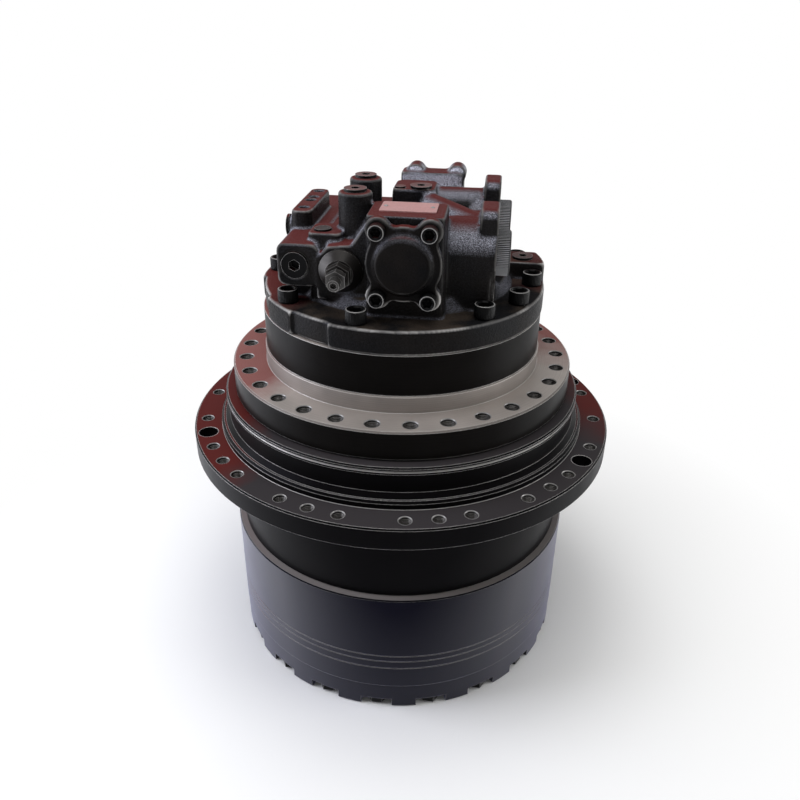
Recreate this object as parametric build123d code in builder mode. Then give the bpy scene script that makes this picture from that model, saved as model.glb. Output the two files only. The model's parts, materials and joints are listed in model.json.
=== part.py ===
"""Excavator final drive: planetary reduction in a turning drum, with a piston motor on a fixed spindle.

Millimetres, +Z up along the drive axis. The end cover stands on z = 0, -Y is the regulator side and
+X the side of the two oil ports.
"""

import math
import os

from build123d import *

# Gearing: both stages run in one ring gear and share its module
tooth_module = 6.0
pressure_angle = 25.0
ring_teeth = 64
first_sun_teeth = 14
second_sun_teeth = 20
first_planet_count = 3
second_planet_count = 4
tip_height = 0.9
root_depth = 1.2
ring_tip_height = 0.85
flank_play = 0.25
first_width = 40.0
second_width = 58.0

# Heights, stacked upwards from the end cover's lands
cover_floor = 24.0
cover_height = 38.5
pocket_height = 13.0
pad_height = 10.0
pad_play = 0.5
first_gear_rise = 20.0
stage_gap = 4.0
first_plate = 16.0
second_gear_gap = 6.0
second_plate = 26.0
hub_lap = 12.5
nut_gap = 2.0
nut_height = 14.0
bearing_width = 36.0
bearing_spacing = 12.0
flange_rise = 3.0
flange_thickness = 29.0
neck_height = 49.0
running_gap = 1.0
frame_thickness = 37.0
pilot_height = 22.0
case_height = 49.0
deck_thickness = 30.0
spigot_depth = 22.0

# Radii, stepped inwards from the ring gear
drum_wall = 34.8
drum_step = 9.0
hub_wall = 35.0
bearing_section = 40.0
spindle_wall = 25.0
flange_overhang = 55.0
frame_step = 3.4
frame_rim = 17.0
pilot_land = 25.6
case_step = 1.5
cover_inset = 0.5
shoulder_lip = 10.0
nut_lip = 8.0

# Fits between pieces
slip_fit = 0.05
running_fit = 0.1
clearance = 0.3
drill_point = 4.0
head_gap = 1.0

# End cover and drum
land_count = 20
pocket_angle = 10.0
cover_bolt_inset = 15.0
cover_bolt_radius = 8.0
cover_bolt_grip = 34.0
cover_head_across = 24.0
cover_head_height = 10.5
ring_bolt_count = 10
ring_bolt_radius = 6.0
ring_bolt_offset = 9.4
ring_bolt_grip = 22.0
cover_bowl = 6.0
cover_slope = 12.0
pad_rim = 4.0
pad_hole = 6.0
oil_plug_count = 3
oil_plug_radius = 13.0
oil_plug_circle = 150.0
oil_plug_length = 16.0
oil_plug_sink = 1.0
groove_depth = 1.0
groove_width = 1.4
drum_edge = 1.5
drum_grooves = (52.5, 43.5, 31.5)

# Sprocket flange: places on a grid of 44 round the flange, counted from the front
sprocket_grid = 44
tapped_places = (1, 2, 3, 5, 6, 7, 9, 11, 13, 15, 16, 17, 19, 20, 21)
plain_places = (8, 14)
sprocket_rim = 17.0
tapped_radius = 7.75
plain_radius = 12.5
spigot_step = 19.0
spigot_height = 10.0
spigot_chamfer = 3.0
flange_root = 8.0
neck_root = 6.0
neck_lip = 2.0
neck_step = 7.5
neck_groove_rises = (39.0, 43.0)

# Frame flange
frame_hole_count = 30
frame_hole_turn = -2.15
frame_hole_radius = 9.25
frame_hole_depth = 34.0

# Bearings, seal and carriers
roller_count = 16
roller_radius = 8.0
roller_length = 22.0
roller_tilt = 14.0
roller_taper = 2.0
race_lip = 4.0
bearing_rib = 10.0
nut_slot_count = 6
nut_slot_depth = 8.0
nut_slot_width = 14.0
seal_inner_gap = 4.0
seal_section = 14.0
seal_lip = 8.0
seal_ring_height = 12.0
seal_face_height = 6.0
rubber_radius = 6.0
seal_skirt = 5.0
first_pin_radius = 30.0
second_pin_radius = 34.0
sleeve_wall = 5.0
first_plate_rim = 40.0
second_plate_rim = 50.0
pin_collar = 3.0
pin_lip = 4.0
carrier_bolt_radius = 7.0
carrier_bolt_circle = 112.0
carrier_bolt_spread = 10.0
carrier_bolt_grip = 22.0
thread_step = 2.0
sun_hub_step = 6.0
carrier_bore_gap = 12.0

# Motor
shaft_radius = 20.0
sun_bore_gap = 5.0
shaft_bearing_wall = 12.0
shaft_bearing_length = 18.0
shaft_seal_length = 12.0
shaft_seal_wall = 8.0
partition_thickness = 40.0
nose_wall = 55.0
swash_thickness = 20.0
swash_bore = 28.0
swash_rim = 12.0
slipper_radius = 15.0
slipper_neck = 11.5
slipper_flange = 3.5
slipper_height = 12.0
ball_radius = 8.0
ball_sink = 3.0
piston_count = 9
piston_radius = 11.5
piston_circle = 78.0
piston_neck = 6.0
piston_rise = 18.0
piston_end_gap = 40.0
block_wall = 10.5
block_rise = 30.0
retainer_thickness = 4.5
valve_plate_thickness = 6.0
valve_plate_gap = 3.0
kidney_radius = 6.0
kidney_sweep = 130.0
cavity_step = 7.0
plate_thickness = 3.6
plate_gap = 0.15
plate_tooth = 8.0
separator_gap = 6.0
friction_plates = 2
brake_piston_length = 36.0
brake_piston_lip = 20.0
brake_groove = 4.0
brake_seal_land = 10.0
brake_spring_height = 14.0
disc_sheet = 4.0
disc_gap = 3.0

# Motor cover casting, heights above its deck
land_step = 1.2
scallop_depth = 4.5
scallops = ((-112, -101), (-82, -58), (-39, -21), (98, 109), (127, 141), (159, 171), (189, 201))
deck_bolt_inset = 15.0
deck_bolt_radius = 8.0
deck_bolt_grip = 30.0
deck_head_radius = 12.0
deck_head_height = 16.0
deck_socket = 14.0
head_clearance = 1.5
head_room_above = 6.0
deck_bolt_angles = (-150, -121, -91.8, -48.6, -11.4, 41.4, 64.1, 88.6, 118, 150, 180)
body_radius = 138.0
body_rise = 14.0
body_taper = 30.0
draft = 2.5

front_x = 18.5
front_width = 87.0
front_face = 140.0
front_depth = 66.0
front_rise = 114.0
front_corner = 6.0
front_draft = 0.6
regulator_rise = 65.0
regulator_bolt_x = 56.0
regulator_bolt_z = 74.0
regulator_lobe = 14.0
regulator_plate = 12.0
regulator_dome = 32.0
dome_height = 20.0
dome_chamfer = 3.5
regulator_fillet = 7.0
regulator_screw = 6.0
regulator_head = 9.0
regulator_head_height = 12.0
regulator_grip = 22.0
control_bore = 14.0
control_length = 52.0
control_travel = 6.0
control_waist = 5.0
control_spring = 14.0

port_y = 70.0
port_rise = 59.0
port_radius = 38.0
port_face = 117.0
port_start = 20.0
port_setback = 4.0
port_bore = 16.0
port_depth = 34.0
lug_length = 21.0
port_bolt_y = 31.8
port_bolt_z = 66.7
port_bolt_radius = 6.0
port_bolt_depth = 20.0
lug_margin_y = 12.0
lug_margin_z = 21.0
cap_radius = 26.0
cap_thickness = 15.0
cap_recess = 17.0
cap_recess_depth = 2.0

core_x = (-84.0, 100.0)
core_y = (-92.0, 96.0)
core_rise = 78.0
core_corner = 20.0
plateau_x = (-19.0, 43.0)
plateau_y = (-12.0, 50.0)
plateau_rise = 112.0
plateau_corner = 14.0
arm_radius = 18.0
arm_starts = ((30.0, -2.0), (30.0, 30.0))
arm_ends = ((102.0, -66.0), (102.0, 76.0))
arm_rises = (90.0, 80.0)
back_x = (-16.0, 70.0)
back_y = (76.0, 112.0)
back_rise = 114.5
back_corner = 8.0
back_draft = 1.0
bump_places = (4.5, 58.5)
bump_radius = 12.0
bump_sink = 3.0
bump_setback = 8.0
tower_x = -46.0
tower_places = (-75.0, -3.0)
tower_radius = 19.5
tower_rise = 124.0

spool_x = -110.0
spool_rise = 47.0
spool_face = 116.0
spool_block_x = (-131.0, -82.0)
spool_block_height = 50.0
spool_block_corner = 10.0
spool_rib_y = 88.0
spool_rib_inset = 3.0
spool_bore = 13.0
spring_room = 28.0
spool_land = 26.0
spool_waist = 8.0
end_plug_radius = 15.3
end_plug_length = 24.0
end_plug_socket = 12.0
end_plug_proud = 1.5
end_socket_depth = 9.0
rail_x = -115.0
rail_y = (-60.0, 55.0)
rail_width = 25.0
rail_rise = 94.0
rail_corner = 10.0
rail_hole_radius = 6.0
rail_hole_depth = 18.0
rail_hole_places = (-39.0, -4.0, 12.0, 43.0)
side_pad_places = (-38.0, 22.0)
side_pad_radius = 14.0
side_pad_reach = 5.0
side_pad_lift = 24.0

relief_x = -56.3
relief_rise = 44.0
relief_face = 118.0
relief_seat = 2.0
relief_depth = 48.0
relief_outline = ((-85, 8), (-85, 54), (-72, 71), (-44, 74), (-26, 100), (-24, 8))
relief_tilt = 4.0
relief_collar = 25.0
relief_collar_length = 4.0
relief_dome = 16.0
relief_dome_length = 8.0
relief_across = 26.0
relief_hexagon_length = 10.0
relief_thread = 10.0
relief_thread_depth = 28.0
relief_neck = 2.0
nut_across = 21.0
nut_length = 9.0
screw_radius = 6.5
screw_back = 4.0
screw_reach = 45.0
screw_socket = 7.0
screw_socket_depth = 6.0

shoulder_x = (-97.0, -58.0)
shoulder_y = (-105.0, -60.0)
shoulder_rise = 82.0
shoulder_corner = 8.0

plug_radius = 13.0
plug_height = 3.4
plug_thread = 8.5
plug_depth = 14.0
plug_socket = 10.0
flush_plugs = ((-5.4, 3.2, 112.0, 6.5), (-82.0, -87.0, 82.0, 9.5))
flush_height = 1.2
flush_depth = 10.0
plateau_plug = (20.5, 3.4)
ear_plug = (150.0, 32.0)
ear_x = (100.0, 182.0)
ear_y = (12.0, 60.0)
ear_rise = 22.0
ear_corner = 9.0

plate_width = 62.0
plate_depth = 40.0
plate_sheet = 1.2
plate_setback = 39.0
plate_corner = 3.0

spring_wire = 1.6
spring_turns = 5

# Gear sizes that follow from the module
first_planet_teeth = (ring_teeth - first_sun_teeth) // 2
second_planet_teeth = (ring_teeth - second_sun_teeth) // 2
first_centre = tooth_module * (first_sun_teeth + first_planet_teeth) / 2
second_centre = tooth_module * (second_sun_teeth + second_planet_teeth) / 2
ring_pitch = tooth_module * ring_teeth / 2
ring_root = ring_pitch + root_depth * tooth_module
ring_tip = ring_pitch - ring_tip_height * tooth_module

# Radii that follow from the ring gear
drum_radius = ring_root + drum_wall
hub_radius = drum_radius - drum_step
bearing_seat = hub_radius - hub_wall
bearing_bore = bearing_seat - bearing_section
cavity_radius = bearing_bore - spindle_wall
spindle_shoulder = bearing_bore + shoulder_lip
nut_radius = bearing_bore + nut_lip
flange_radius = hub_radius + flange_overhang
sprocket_circle = flange_radius - sprocket_rim
frame_radius = hub_radius - frame_step
frame_circle = frame_radius - frame_rim
pilot_radius = frame_circle - pilot_land
case_radius = pilot_radius - case_step
deck_circle = case_radius - deck_bolt_inset
land_radius = case_radius + land_step
end_cover_radius = drum_radius - cover_inset
cover_bolt_circle = drum_radius - cover_bolt_inset
ring_bolt_circle = ring_root + ring_bolt_offset

# Heights that follow from the stack
first_low = cover_floor + first_gear_rise
first_high = first_low + first_width
first_plate_low = first_high + stage_gap
first_plate_high = first_plate_low + first_plate
second_low = first_plate_high + second_gear_gap
second_high = second_low + second_width
second_plate_low = second_high + stage_gap
spindle_low = second_plate_low + second_plate
hub_low = spindle_low - hub_lap
nut_low = spindle_low + nut_gap
bearing_low = nut_low + nut_height
bearing_mid = bearing_low + bearing_width
upper_bearing = bearing_mid + bearing_spacing
bearing_high = upper_bearing + bearing_width
flange_low = bearing_high + flange_rise
flange_high = flange_low + flange_thickness
hub_high = flange_high + neck_height
frame_low = hub_high + running_gap
frame_high = frame_low + frame_thickness
pilot_high = frame_high + pilot_height
case_high = pilot_high + case_height
deck = case_high + deck_thickness
spigot_low = case_high - spigot_depth
block_high = spigot_low - valve_plate_thickness
partition_high = bearing_high - nut_gap
partition_low = partition_high - partition_thickness
swash_high = partition_high + swash_thickness
block_low = swash_high + block_rise
block_radius = piston_circle + piston_radius + block_wall
brake_spring_low = spigot_low - brake_spring_height
brake_piston_low = brake_spring_low - brake_piston_length
plate_pitch = plate_thickness + plate_gap
brake_ledge = brake_piston_low - (2 * friction_plates + 1) * plate_pitch
inner_cavity = cavity_radius - cavity_step

# Angles of the planets, which fix how the teeth of each stage lie at rest
first_angles = [90 + 360 / first_planet_count * place for place in range(first_planet_count)]
second_angles = [45 + 360 / second_planet_count * place for place in range(second_planet_count)]

os.makedirs("parts", exist_ok=True)


def write_step(piece, label):
    """Labels a finished piece and writes its STEP file."""
    piece.part.label = label
    export_step(piece.part, f"parts/{label}.step")


def polar(radius, angle):
    """Point at an angle counted in degrees from +X."""
    return (radius * math.cos(math.radians(angle)), radius * math.sin(math.radians(angle)))


def around(radius, angle):
    """Point at an angle counted in degrees from the front, -Y, towards +X."""
    return polar(radius, angle - 90)


def turned(*outline, mode=Mode.ADD):
    """Turns a closed outline of (radius, height) points about the drive axis."""
    with BuildSketch(Plane.XZ) as profile:
        with BuildLine():
            Polyline(*outline, close=True)
        make_face()
    revolve(profile.sketch, axis=Axis.Z, mode=mode)


def ring(outer, inner, low, high, mode=Mode.ADD):
    """Adds a plain ring about the drive axis."""
    turned((inner, low), (outer, low), (outer, high), (inner, high), mode=mode)


def bar(radius, start, direction, length, mode=Mode.ADD):
    """Adds a round bar that starts at a point and runs in a direction."""
    with Locations(Plane(origin=start, z_dir=direction)):
        Cylinder(radius, length, align=(Align.CENTER, Align.CENTER, Align.MIN), mode=mode)


def bore(radius, start, direction, depth):
    """Bores a round hole that starts at a point and runs in a direction."""
    bar(radius, start, direction, depth, mode=Mode.SUBTRACT)


def posts(radius, spots, level, height, mode=Mode.ADD):
    """Adds upright round posts at (x, y) spots, all from one level."""
    with BuildSketch(Plane.XY.offset(level)) as outline:
        with Locations(*spots):
            Circle(radius)
    extrude(outline.sketch, amount=height, mode=mode)


def drill(radius, spots, level, depth):
    """Drills upright holes at (x, y) spots, upwards from one level, or downwards by a negative depth."""
    posts(radius, spots, level, depth, mode=Mode.SUBTRACT)


def hexagon_posts(across, spots, level, height, mode=Mode.ADD):
    """Adds upright hexagon posts at (x, y) spots, all from one level."""
    with BuildSketch(Plane.XY.offset(level)) as outline:
        with Locations(*spots):
            RegularPolygon(across / 2, 6, major_radius=False)
    extrude(outline.sketch, amount=height, mode=mode)


def hexagon(across, start, direction, length, mode=Mode.ADD):
    """Adds a hexagon bar of a given size across its flats."""
    with BuildSketch(Plane(origin=start, z_dir=direction)) as outline:
        RegularPolygon(across / 2, 6, major_radius=False)
    extrude(outline.sketch, amount=length, mode=mode)


def block(x, y, low, high, corner, taper=0.0):
    """Adds an upright block with rounded corners between two x and two y values."""
    centre = ((x[0] + x[1]) / 2, (y[0] + y[1]) / 2, low)
    with BuildSketch(Plane(origin=centre)) as outline:
        RectangleRounded(x[1] - x[0], y[1] - y[0], corner)
    extrude(outline.sketch, amount=high - low, taper=taper)


def involute(angle):
    return math.tan(angle) - angle


def tooth_outline(teeth, turn, tip, root, play):
    """Outline of a toothed wheel, with one tooth centred at the turn angle."""
    pressure = math.radians(pressure_angle)
    pitch = tooth_module * teeth / 2
    base = pitch * math.cos(pressure)
    start = max(base, root)
    middle = (start + tip) / 2

    def half_width(radius):
        slope = math.acos(min(1.0, base / radius))
        return math.degrees(math.pi / 2 / teeth - play / pitch + involute(pressure) - involute(slope))

    with BuildSketch() as wheel:
        with BuildLine():
            for tooth in range(teeth):
                centre = turn + tooth * 360 / teeth
                following = centre + 360 / teeth - half_width(start)
                rising = [polar(radius, centre - half_width(radius)) for radius in (start, middle, tip)]
                falling = [polar(radius, centre + half_width(radius)) for radius in (tip, middle, start)]
                ThreePointArc(*rising)
                Line(rising[-1], falling[0])
                ThreePointArc(*falling)
                if root < base:
                    foot = polar(root, centre + half_width(start))
                    Polyline(falling[-1], foot, polar(root, following), polar(start, following))
                else:
                    Line(falling[-1], polar(start, following))
        make_face()
    return wheel.sketch


def mesh_turns(angle, sun_teeth, planet_teeth):
    """Angles of a sun's and a planet's tooth, for a ring gear with a tooth space at angle 0."""
    ring_share = angle * ring_teeth / 360 % 1
    sun_share = (0.5 - planet_teeth / 2 - ring_share) % 1
    planet_turn = angle + 180 - (0.5 - sun_share) * 360 / planet_teeth
    return angle - sun_share * 360 / sun_teeth, planet_turn


def wheel_outline(teeth, turn):
    """Outline of an outside gear of this drive."""
    pitch = tooth_module * teeth / 2
    tip = pitch + tip_height * tooth_module
    return tooth_outline(teeth, turn, tip, pitch - root_depth * tooth_module, flank_play)


def sector(outer, inner, low, high, start, end):
    """Cuts a ring's sector between two angles counted from the front, -Y, towards +X."""
    across = (*around(1, start), 0)
    side = (across[1], -across[0], 0)
    with BuildSketch(Plane(origin=(0, 0, low), x_dir=across, z_dir=side)) as section:
        Rectangle(outer - inner, high - low, align=(Align.MIN, Align.MIN))
    cut = section.sketch.moved(Location((inner * across[0], inner * across[1], 0)))
    revolve(cut, axis=Axis.Z, revolution_arc=end - start, mode=Mode.SUBTRACT)


def plug(start, direction):
    """Adds a screwed-in plug with a low round head and a hexagon socket."""
    face = tuple(place + plug_height * step for place, step in zip(start, direction))
    back = tuple(-step for step in direction)
    bar(plug_radius, start, direction, plug_height)
    bar(plug_thread, start, back, plug_depth - clearance)
    hexagon(plug_socket, face, back, 2 * plug_height, mode=Mode.SUBTRACT)


def coil(centre_radius, low, high, turns, place, direction):
    """Adds a coil spring between two distances along a line."""
    start = tuple(spot + low * step for spot, step in zip(place, direction))
    with BuildLine() as path:
        Helix((high - low) / turns, high - low, centre_radius, center=start, direction=direction)
    with BuildSketch(Plane(origin=path.line @ 0, z_dir=path.line % 0)) as section:
        Circle(spring_wire)
    sweep(section.sketch, path=path.line)


# Drum: end cover, ring gear and sprocket hub, which turn together
pocket_angles = [360 / land_count * place for place in range(land_count)]
head_room = cover_head_across / 2 / math.cos(math.pi / 6) + head_gap
cover_bolt_spots = [around(cover_bolt_circle, angle) for angle in pocket_angles]
oil_plug_angles = [360 / oil_plug_count * place for place in range(oil_plug_count)]
oil_plug_spots = [around(oil_plug_circle, angle) for angle in oil_plug_angles]

with BuildPart() as end_cover:
    turned(
        (0, 0),
        (end_cover_radius - 1.5, 0),
        (end_cover_radius, 1.5),
        (end_cover_radius, cover_height),
        (ring_tip - cover_bowl, cover_height),
        (ring_tip - cover_bowl - cover_slope, cover_floor),
        (0, cover_floor),
    )
    with BuildSketch() as pockets:
        half_pocket = end_cover_radius * math.radians(pocket_angle) / 2
        for angle in pocket_angles:
            with Locations(Location((*around(cover_bolt_circle, angle), 0), angle)):
                Circle(head_room)
            with Locations(Location((*around(end_cover_radius, angle), 0), angle)):
                Rectangle(2 * half_pocket, 2 * (end_cover_radius - cover_bolt_circle))
    extrude(pockets.sketch, amount=pocket_height, mode=Mode.SUBTRACT)
    drill(cover_bolt_radius + clearance, cover_bolt_spots, pocket_height, cover_height)
    drill(oil_plug_radius + slip_fit, oil_plug_spots, 0, oil_plug_length)
write_step(end_cover, "end_cover")

with BuildPart() as oil_plugs:
    posts(oil_plug_radius, oil_plug_spots, oil_plug_sink, oil_plug_length - oil_plug_sink)
    hexagon_posts(end_plug_socket, oil_plug_spots, oil_plug_sink, oil_plug_length / 2, mode=Mode.SUBTRACT)
write_step(oil_plugs, "oil_plugs")

with BuildPart() as end_cover_bolts:
    hexagon_posts(cover_head_across, cover_bolt_spots, pocket_height, -cover_head_height)
    posts(cover_bolt_radius, cover_bolt_spots, pocket_height, cover_height - pocket_height + cover_bolt_grip)
write_step(end_cover_bolts, "end_cover_bolts")

with BuildPart() as thrust_pad:
    ring(shaft_radius + pad_rim, pad_hole, cover_floor, cover_floor + pad_height)
write_step(thrust_pad, "thrust_pad")

ring_bolt_angles = [360 / land_count * (2 * place + 0.5) for place in range(ring_bolt_count)]
ring_bolt_spots = [around(ring_bolt_circle, angle) for angle in ring_bolt_angles]
ring_head_radius = 1.5 * ring_bolt_radius
ring_head_sink = 2 * ring_bolt_radius + 2

with BuildPart() as ring_gear:
    with BuildSketch(Plane.XY.offset(cover_height)):
        Circle(drum_radius)
        add(tooth_outline(ring_teeth, 0, ring_root, ring_tip, -flank_play), mode=Mode.SUBTRACT)
        with Locations(*ring_bolt_spots):
            Circle(ring_bolt_radius + clearance, mode=Mode.SUBTRACT)
    extrude(amount=hub_low - cover_height)
    for rise in drum_grooves:
        level = cover_height + rise
        ring(drum_radius + 1, drum_radius - groove_depth, level, level + groove_width, mode=Mode.SUBTRACT)
    turned(
        (drum_radius - drum_edge, hub_low),
        (drum_radius + 1, hub_low),
        (drum_radius + 1, hub_low - drum_edge - 1),
        mode=Mode.SUBTRACT,
    )
    drill(cover_bolt_radius + slip_fit, cover_bolt_spots, cover_height, cover_bolt_grip + drill_point)
    drill(ring_head_radius + clearance, ring_bolt_spots, cover_height, ring_head_sink)
write_step(ring_gear, "ring_gear")

with BuildPart() as ring_gear_bolts:
    level = cover_height + ring_head_sink
    posts(ring_head_radius, ring_bolt_spots, level, -2 * ring_bolt_radius)
    posts(ring_bolt_radius, ring_bolt_spots, level, hub_low - level + ring_bolt_grip)
write_step(ring_gear_bolts, "ring_gear_bolts")

# The hub's bore is stepped: bearing seats with a shoulder between, then the seal's housing
seal_inner = spindle_shoulder + seal_inner_gap
seal_outer = seal_inner + seal_section
rubber_circle = seal_outer + rubber_radius
rubber_seat = rubber_circle + rubber_radius + running_fit
housing_radius = rubber_seat + seal_skirt + running_gap
seal_face = flange_high + neck_height / 2 - 2
spigot_radius = hub_radius + spigot_step
neck_radius = hub_radius + neck_step

with BuildPart() as sprocket_hub:
    turned(
        (bearing_seat, hub_low),
        (hub_radius - 1, hub_low),
        (hub_radius, hub_low + 1),
        (hub_radius, flange_low - 0.75 * flange_root),
        (hub_radius + flange_root / 4, flange_low - flange_root / 4),
        (hub_radius + flange_root, flange_low),
        (flange_radius - 2, flange_low),
        (flange_radius, flange_low + 2),
        (flange_radius, flange_high - 2),
        (flange_radius - 2, flange_high),
        (spigot_radius, flange_high),
        (spigot_radius, flange_high + spigot_height - spigot_chamfer),
        (spigot_radius - spigot_chamfer, flange_high + spigot_height),
        (neck_radius + neck_root, flange_high + spigot_height),
        (neck_radius, flange_high + spigot_height + neck_root),
        (neck_radius, flange_high + neck_groove_rises[0]),
        (neck_radius + neck_lip, flange_high + neck_groove_rises[0] + neck_lip / 2),
        (neck_radius + neck_lip, hub_high - neck_lip),
        (neck_radius, hub_high),
        (housing_radius, hub_high),
        (housing_radius, seal_face - seal_ring_height),
        (rubber_seat, seal_face - seal_ring_height),
        (rubber_seat, seal_face - seal_ring_height - 2 * rubber_radius),
        (bearing_seat, seal_face - seal_ring_height - 2 * rubber_radius),
        (bearing_seat, upper_bearing),
        (bearing_seat - bearing_rib, upper_bearing),
        (bearing_seat - bearing_rib, bearing_mid),
        (bearing_seat, bearing_mid),
    )
    level = flange_high + neck_groove_rises[1]
    lip_radius = neck_radius + neck_lip
    ring(lip_radius + 1, lip_radius - groove_depth, level, level + groove_width, mode=Mode.SUBTRACT)
    for radius, places in ((tapped_radius, tapped_places), (plain_radius, plain_places)):
        angles = [side * place * 360 / sprocket_grid for place in places for side in (-1, 1)]
        spots = [around(sprocket_circle, angle) for angle in angles]
        drill(radius, spots, flange_low, flange_thickness)
    drill(ring_bolt_radius + slip_fit, ring_bolt_spots, hub_low, ring_bolt_grip + drill_point)
write_step(sprocket_hub, "sprocket_hub")

# Main bearings: two rows of tapered rollers, back to back
roller_circle = bearing_bore + bearing_section / 2
lean = math.radians(roller_tilt)
cone = math.radians(roller_taper)


def race_radius(height, side):
    """Radius of a race's track at a height above the row's middle, inside (-1) or outside (1)."""
    slope = lean + side * cone
    gap = roller_radius / math.cos(cone) + slip_fit
    return roller_circle + math.tan(slope) * height + side * gap / math.cos(slope)


def race_outline(middle, flip, side, base):
    """Outline of one bearing race, turned over for the row that leans the other way."""
    half = bearing_width / 2
    track = [(race_radius(height, side), middle + flip * height) for height in (-half, half)]
    return (base, middle - flip * half), track[0], track[1], (base, middle + flip * half)


bearing_rows = ((bearing_low + bearing_width / 2, -1), (upper_bearing + bearing_width / 2, 1))

with BuildPart() as bearing_outer_races:
    for middle, flip in bearing_rows:
        turned(*race_outline(middle, flip, 1, bearing_seat))
write_step(bearing_outer_races, "bearing_outer_races")

with BuildPart() as bearing_inner_races:
    for middle, flip in bearing_rows:
        turned(*race_outline(middle, flip, -1, bearing_bore))
write_step(bearing_inner_races, "bearing_inner_races")

with BuildPart() as bearing_rollers:
    half_taper = roller_length / 2 * math.tan(cone)
    for middle, flip in bearing_rows:
        for place in range(roller_count):
            angle = 360 / roller_count * (place + 0.25 * flip)
            outward = polar(math.sin(lean), angle)
            spot = Plane(
                origin=(*polar(roller_circle, angle), middle),
                z_dir=(*outward, flip * math.cos(lean)),
            )
            with Locations(spot):
                Cone(roller_radius - half_taper, roller_radius + half_taper, roller_length)
write_step(bearing_rollers, "bearing_rollers")

with BuildPart() as bearing_nut:
    ring(nut_radius, bearing_bore - thread_step + slip_fit, nut_low, bearing_low)
    with PolarLocations(nut_radius, nut_slot_count):
        Box(nut_slot_depth, nut_slot_width, 4 * (bearing_low + nut_height), mode=Mode.SUBTRACT)
write_step(bearing_nut, "bearing_nut")

# Floating seal: a metal ring on each side of the running face, each on its rubber ring
seal_half_gap = running_fit / 2


def seal_outline(side):
    """Outline of the drum's (-1) or the spindle's (1) metal seal ring."""
    face = seal_face + side * seal_half_gap
    return (
        (seal_inner, face),
        (seal_outer + seal_lip, face),
        (seal_outer + seal_lip, face + side * seal_face_height),
        (seal_outer, face + side * seal_face_height),
        (seal_outer, face + side * (seal_ring_height + 2 * rubber_radius - clearance)),
        (seal_inner, face + side * (seal_ring_height + 2 * rubber_radius - clearance)),
    )


def rubber_ring(side):
    """Adds the rubber ring round one metal seal ring."""
    with Locations((0, 0, seal_face + side * (seal_ring_height + rubber_radius))):
        Torus(rubber_circle, rubber_radius - slip_fit)


with BuildPart() as drum_seal_ring:
    turned(*seal_outline(-1))
write_step(drum_seal_ring, "drum_seal_ring")

with BuildPart() as drum_seal_rubber:
    rubber_ring(-1)
write_step(drum_seal_rubber, "drum_seal_rubber")

with BuildPart() as spindle_seal_ring:
    turned(*seal_outline(1))
write_step(spindle_seal_ring, "spindle_seal_ring")

with BuildPart() as spindle_seal_rubber:
    rubber_ring(1)
write_step(spindle_seal_rubber, "spindle_seal_rubber")

# Spindle: bearing seats, seal seat, frame flange, pilot and motor case in one piece
seal_seat_low = seal_face + seal_ring_height
carrier_bolt_angles = [
    angle + side * carrier_bolt_spread
    for angle in (second_angle + 180 / second_planet_count for second_angle in second_angles)
    for side in (-1, 1)
]
nose_bore = bearing_bore - nose_wall
front_bearing = partition_high - shaft_bearing_length
bearing_outside = shaft_radius + shaft_bearing_wall
frame_turns = [frame_hole_turn + place * 360 / frame_hole_count for place in range(frame_hole_count)]
frame_spots = [around(frame_circle, angle) for angle in frame_turns]
deck_spots = [around(deck_circle, angle) for angle in deck_bolt_angles]
carrier_bolt_spots = [polar(carrier_bolt_circle, angle) for angle in carrier_bolt_angles]
carrier_head_radius = 1.5 * carrier_bolt_radius
carrier_head_height = 2 * carrier_bolt_radius

with BuildPart() as spindle:
    turned(
        (nose_bore, spindle_low),
        (bearing_bore - thread_step, spindle_low),
        (bearing_bore - thread_step, bearing_low),
        (bearing_bore, bearing_low),
        (bearing_bore, bearing_high),
        (spindle_shoulder, bearing_high),
        (spindle_shoulder, seal_seat_low + 2 * rubber_radius),
        (rubber_seat, seal_seat_low + 2 * rubber_radius),
        (rubber_seat, seal_seat_low),
        (rubber_seat + seal_skirt, seal_seat_low),
        (rubber_seat + seal_skirt, frame_low),
        (frame_radius - 2, frame_low),
        (frame_radius, frame_low + 2),
        (frame_radius, frame_high - 2),
        (frame_radius - 2, frame_high),
        (pilot_radius, frame_high),
        (pilot_radius, pilot_high - 2),
        (pilot_radius - 2, pilot_high),
        (case_radius, pilot_high),
        (case_radius, case_high),
        (cavity_radius, case_high),
        (cavity_radius, brake_ledge),
        (inner_cavity, brake_ledge),
        (inner_cavity, partition_high),
        (bearing_outside, partition_high),
        (bearing_outside, front_bearing),
        (shaft_radius + shaft_seal_wall, front_bearing),
        (shaft_radius + shaft_seal_wall, partition_low),
        (nose_bore, partition_low),
    )
    drill(frame_hole_radius, frame_spots, frame_high, -frame_hole_depth)
    drill(deck_bolt_radius + slip_fit, deck_spots, case_high, -deck_bolt_grip - drill_point)
    drill(carrier_bolt_radius + slip_fit, carrier_bolt_spots, spindle_low, carrier_bolt_grip + drill_point)
write_step(spindle, "spindle")

# First stage: sun on the motor shaft, planets on pins in the first carrier
first_sun_turn = mesh_turns(first_angles[0], first_sun_teeth, first_planet_teeth)[0]
second_sun_turn = mesh_turns(second_angles[0], second_sun_teeth, second_planet_teeth)[0]
first_spots = [polar(first_centre, angle) for angle in first_angles]
second_spots = [polar(second_centre, angle) for angle in second_angles]
sun_bore = shaft_radius - 2
second_bore = shaft_radius + sun_bore_gap
sun_hub = tooth_module * second_sun_teeth / 2 - root_depth * tooth_module - sun_hub_step

with BuildPart() as first_sun:
    with BuildSketch(Plane.XY.offset(first_low)):
        add(wheel_outline(first_sun_teeth, first_sun_turn))
        Circle(sun_bore, mode=Mode.SUBTRACT)
    extrude(amount=first_width)
write_step(first_sun, "first_sun")

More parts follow.
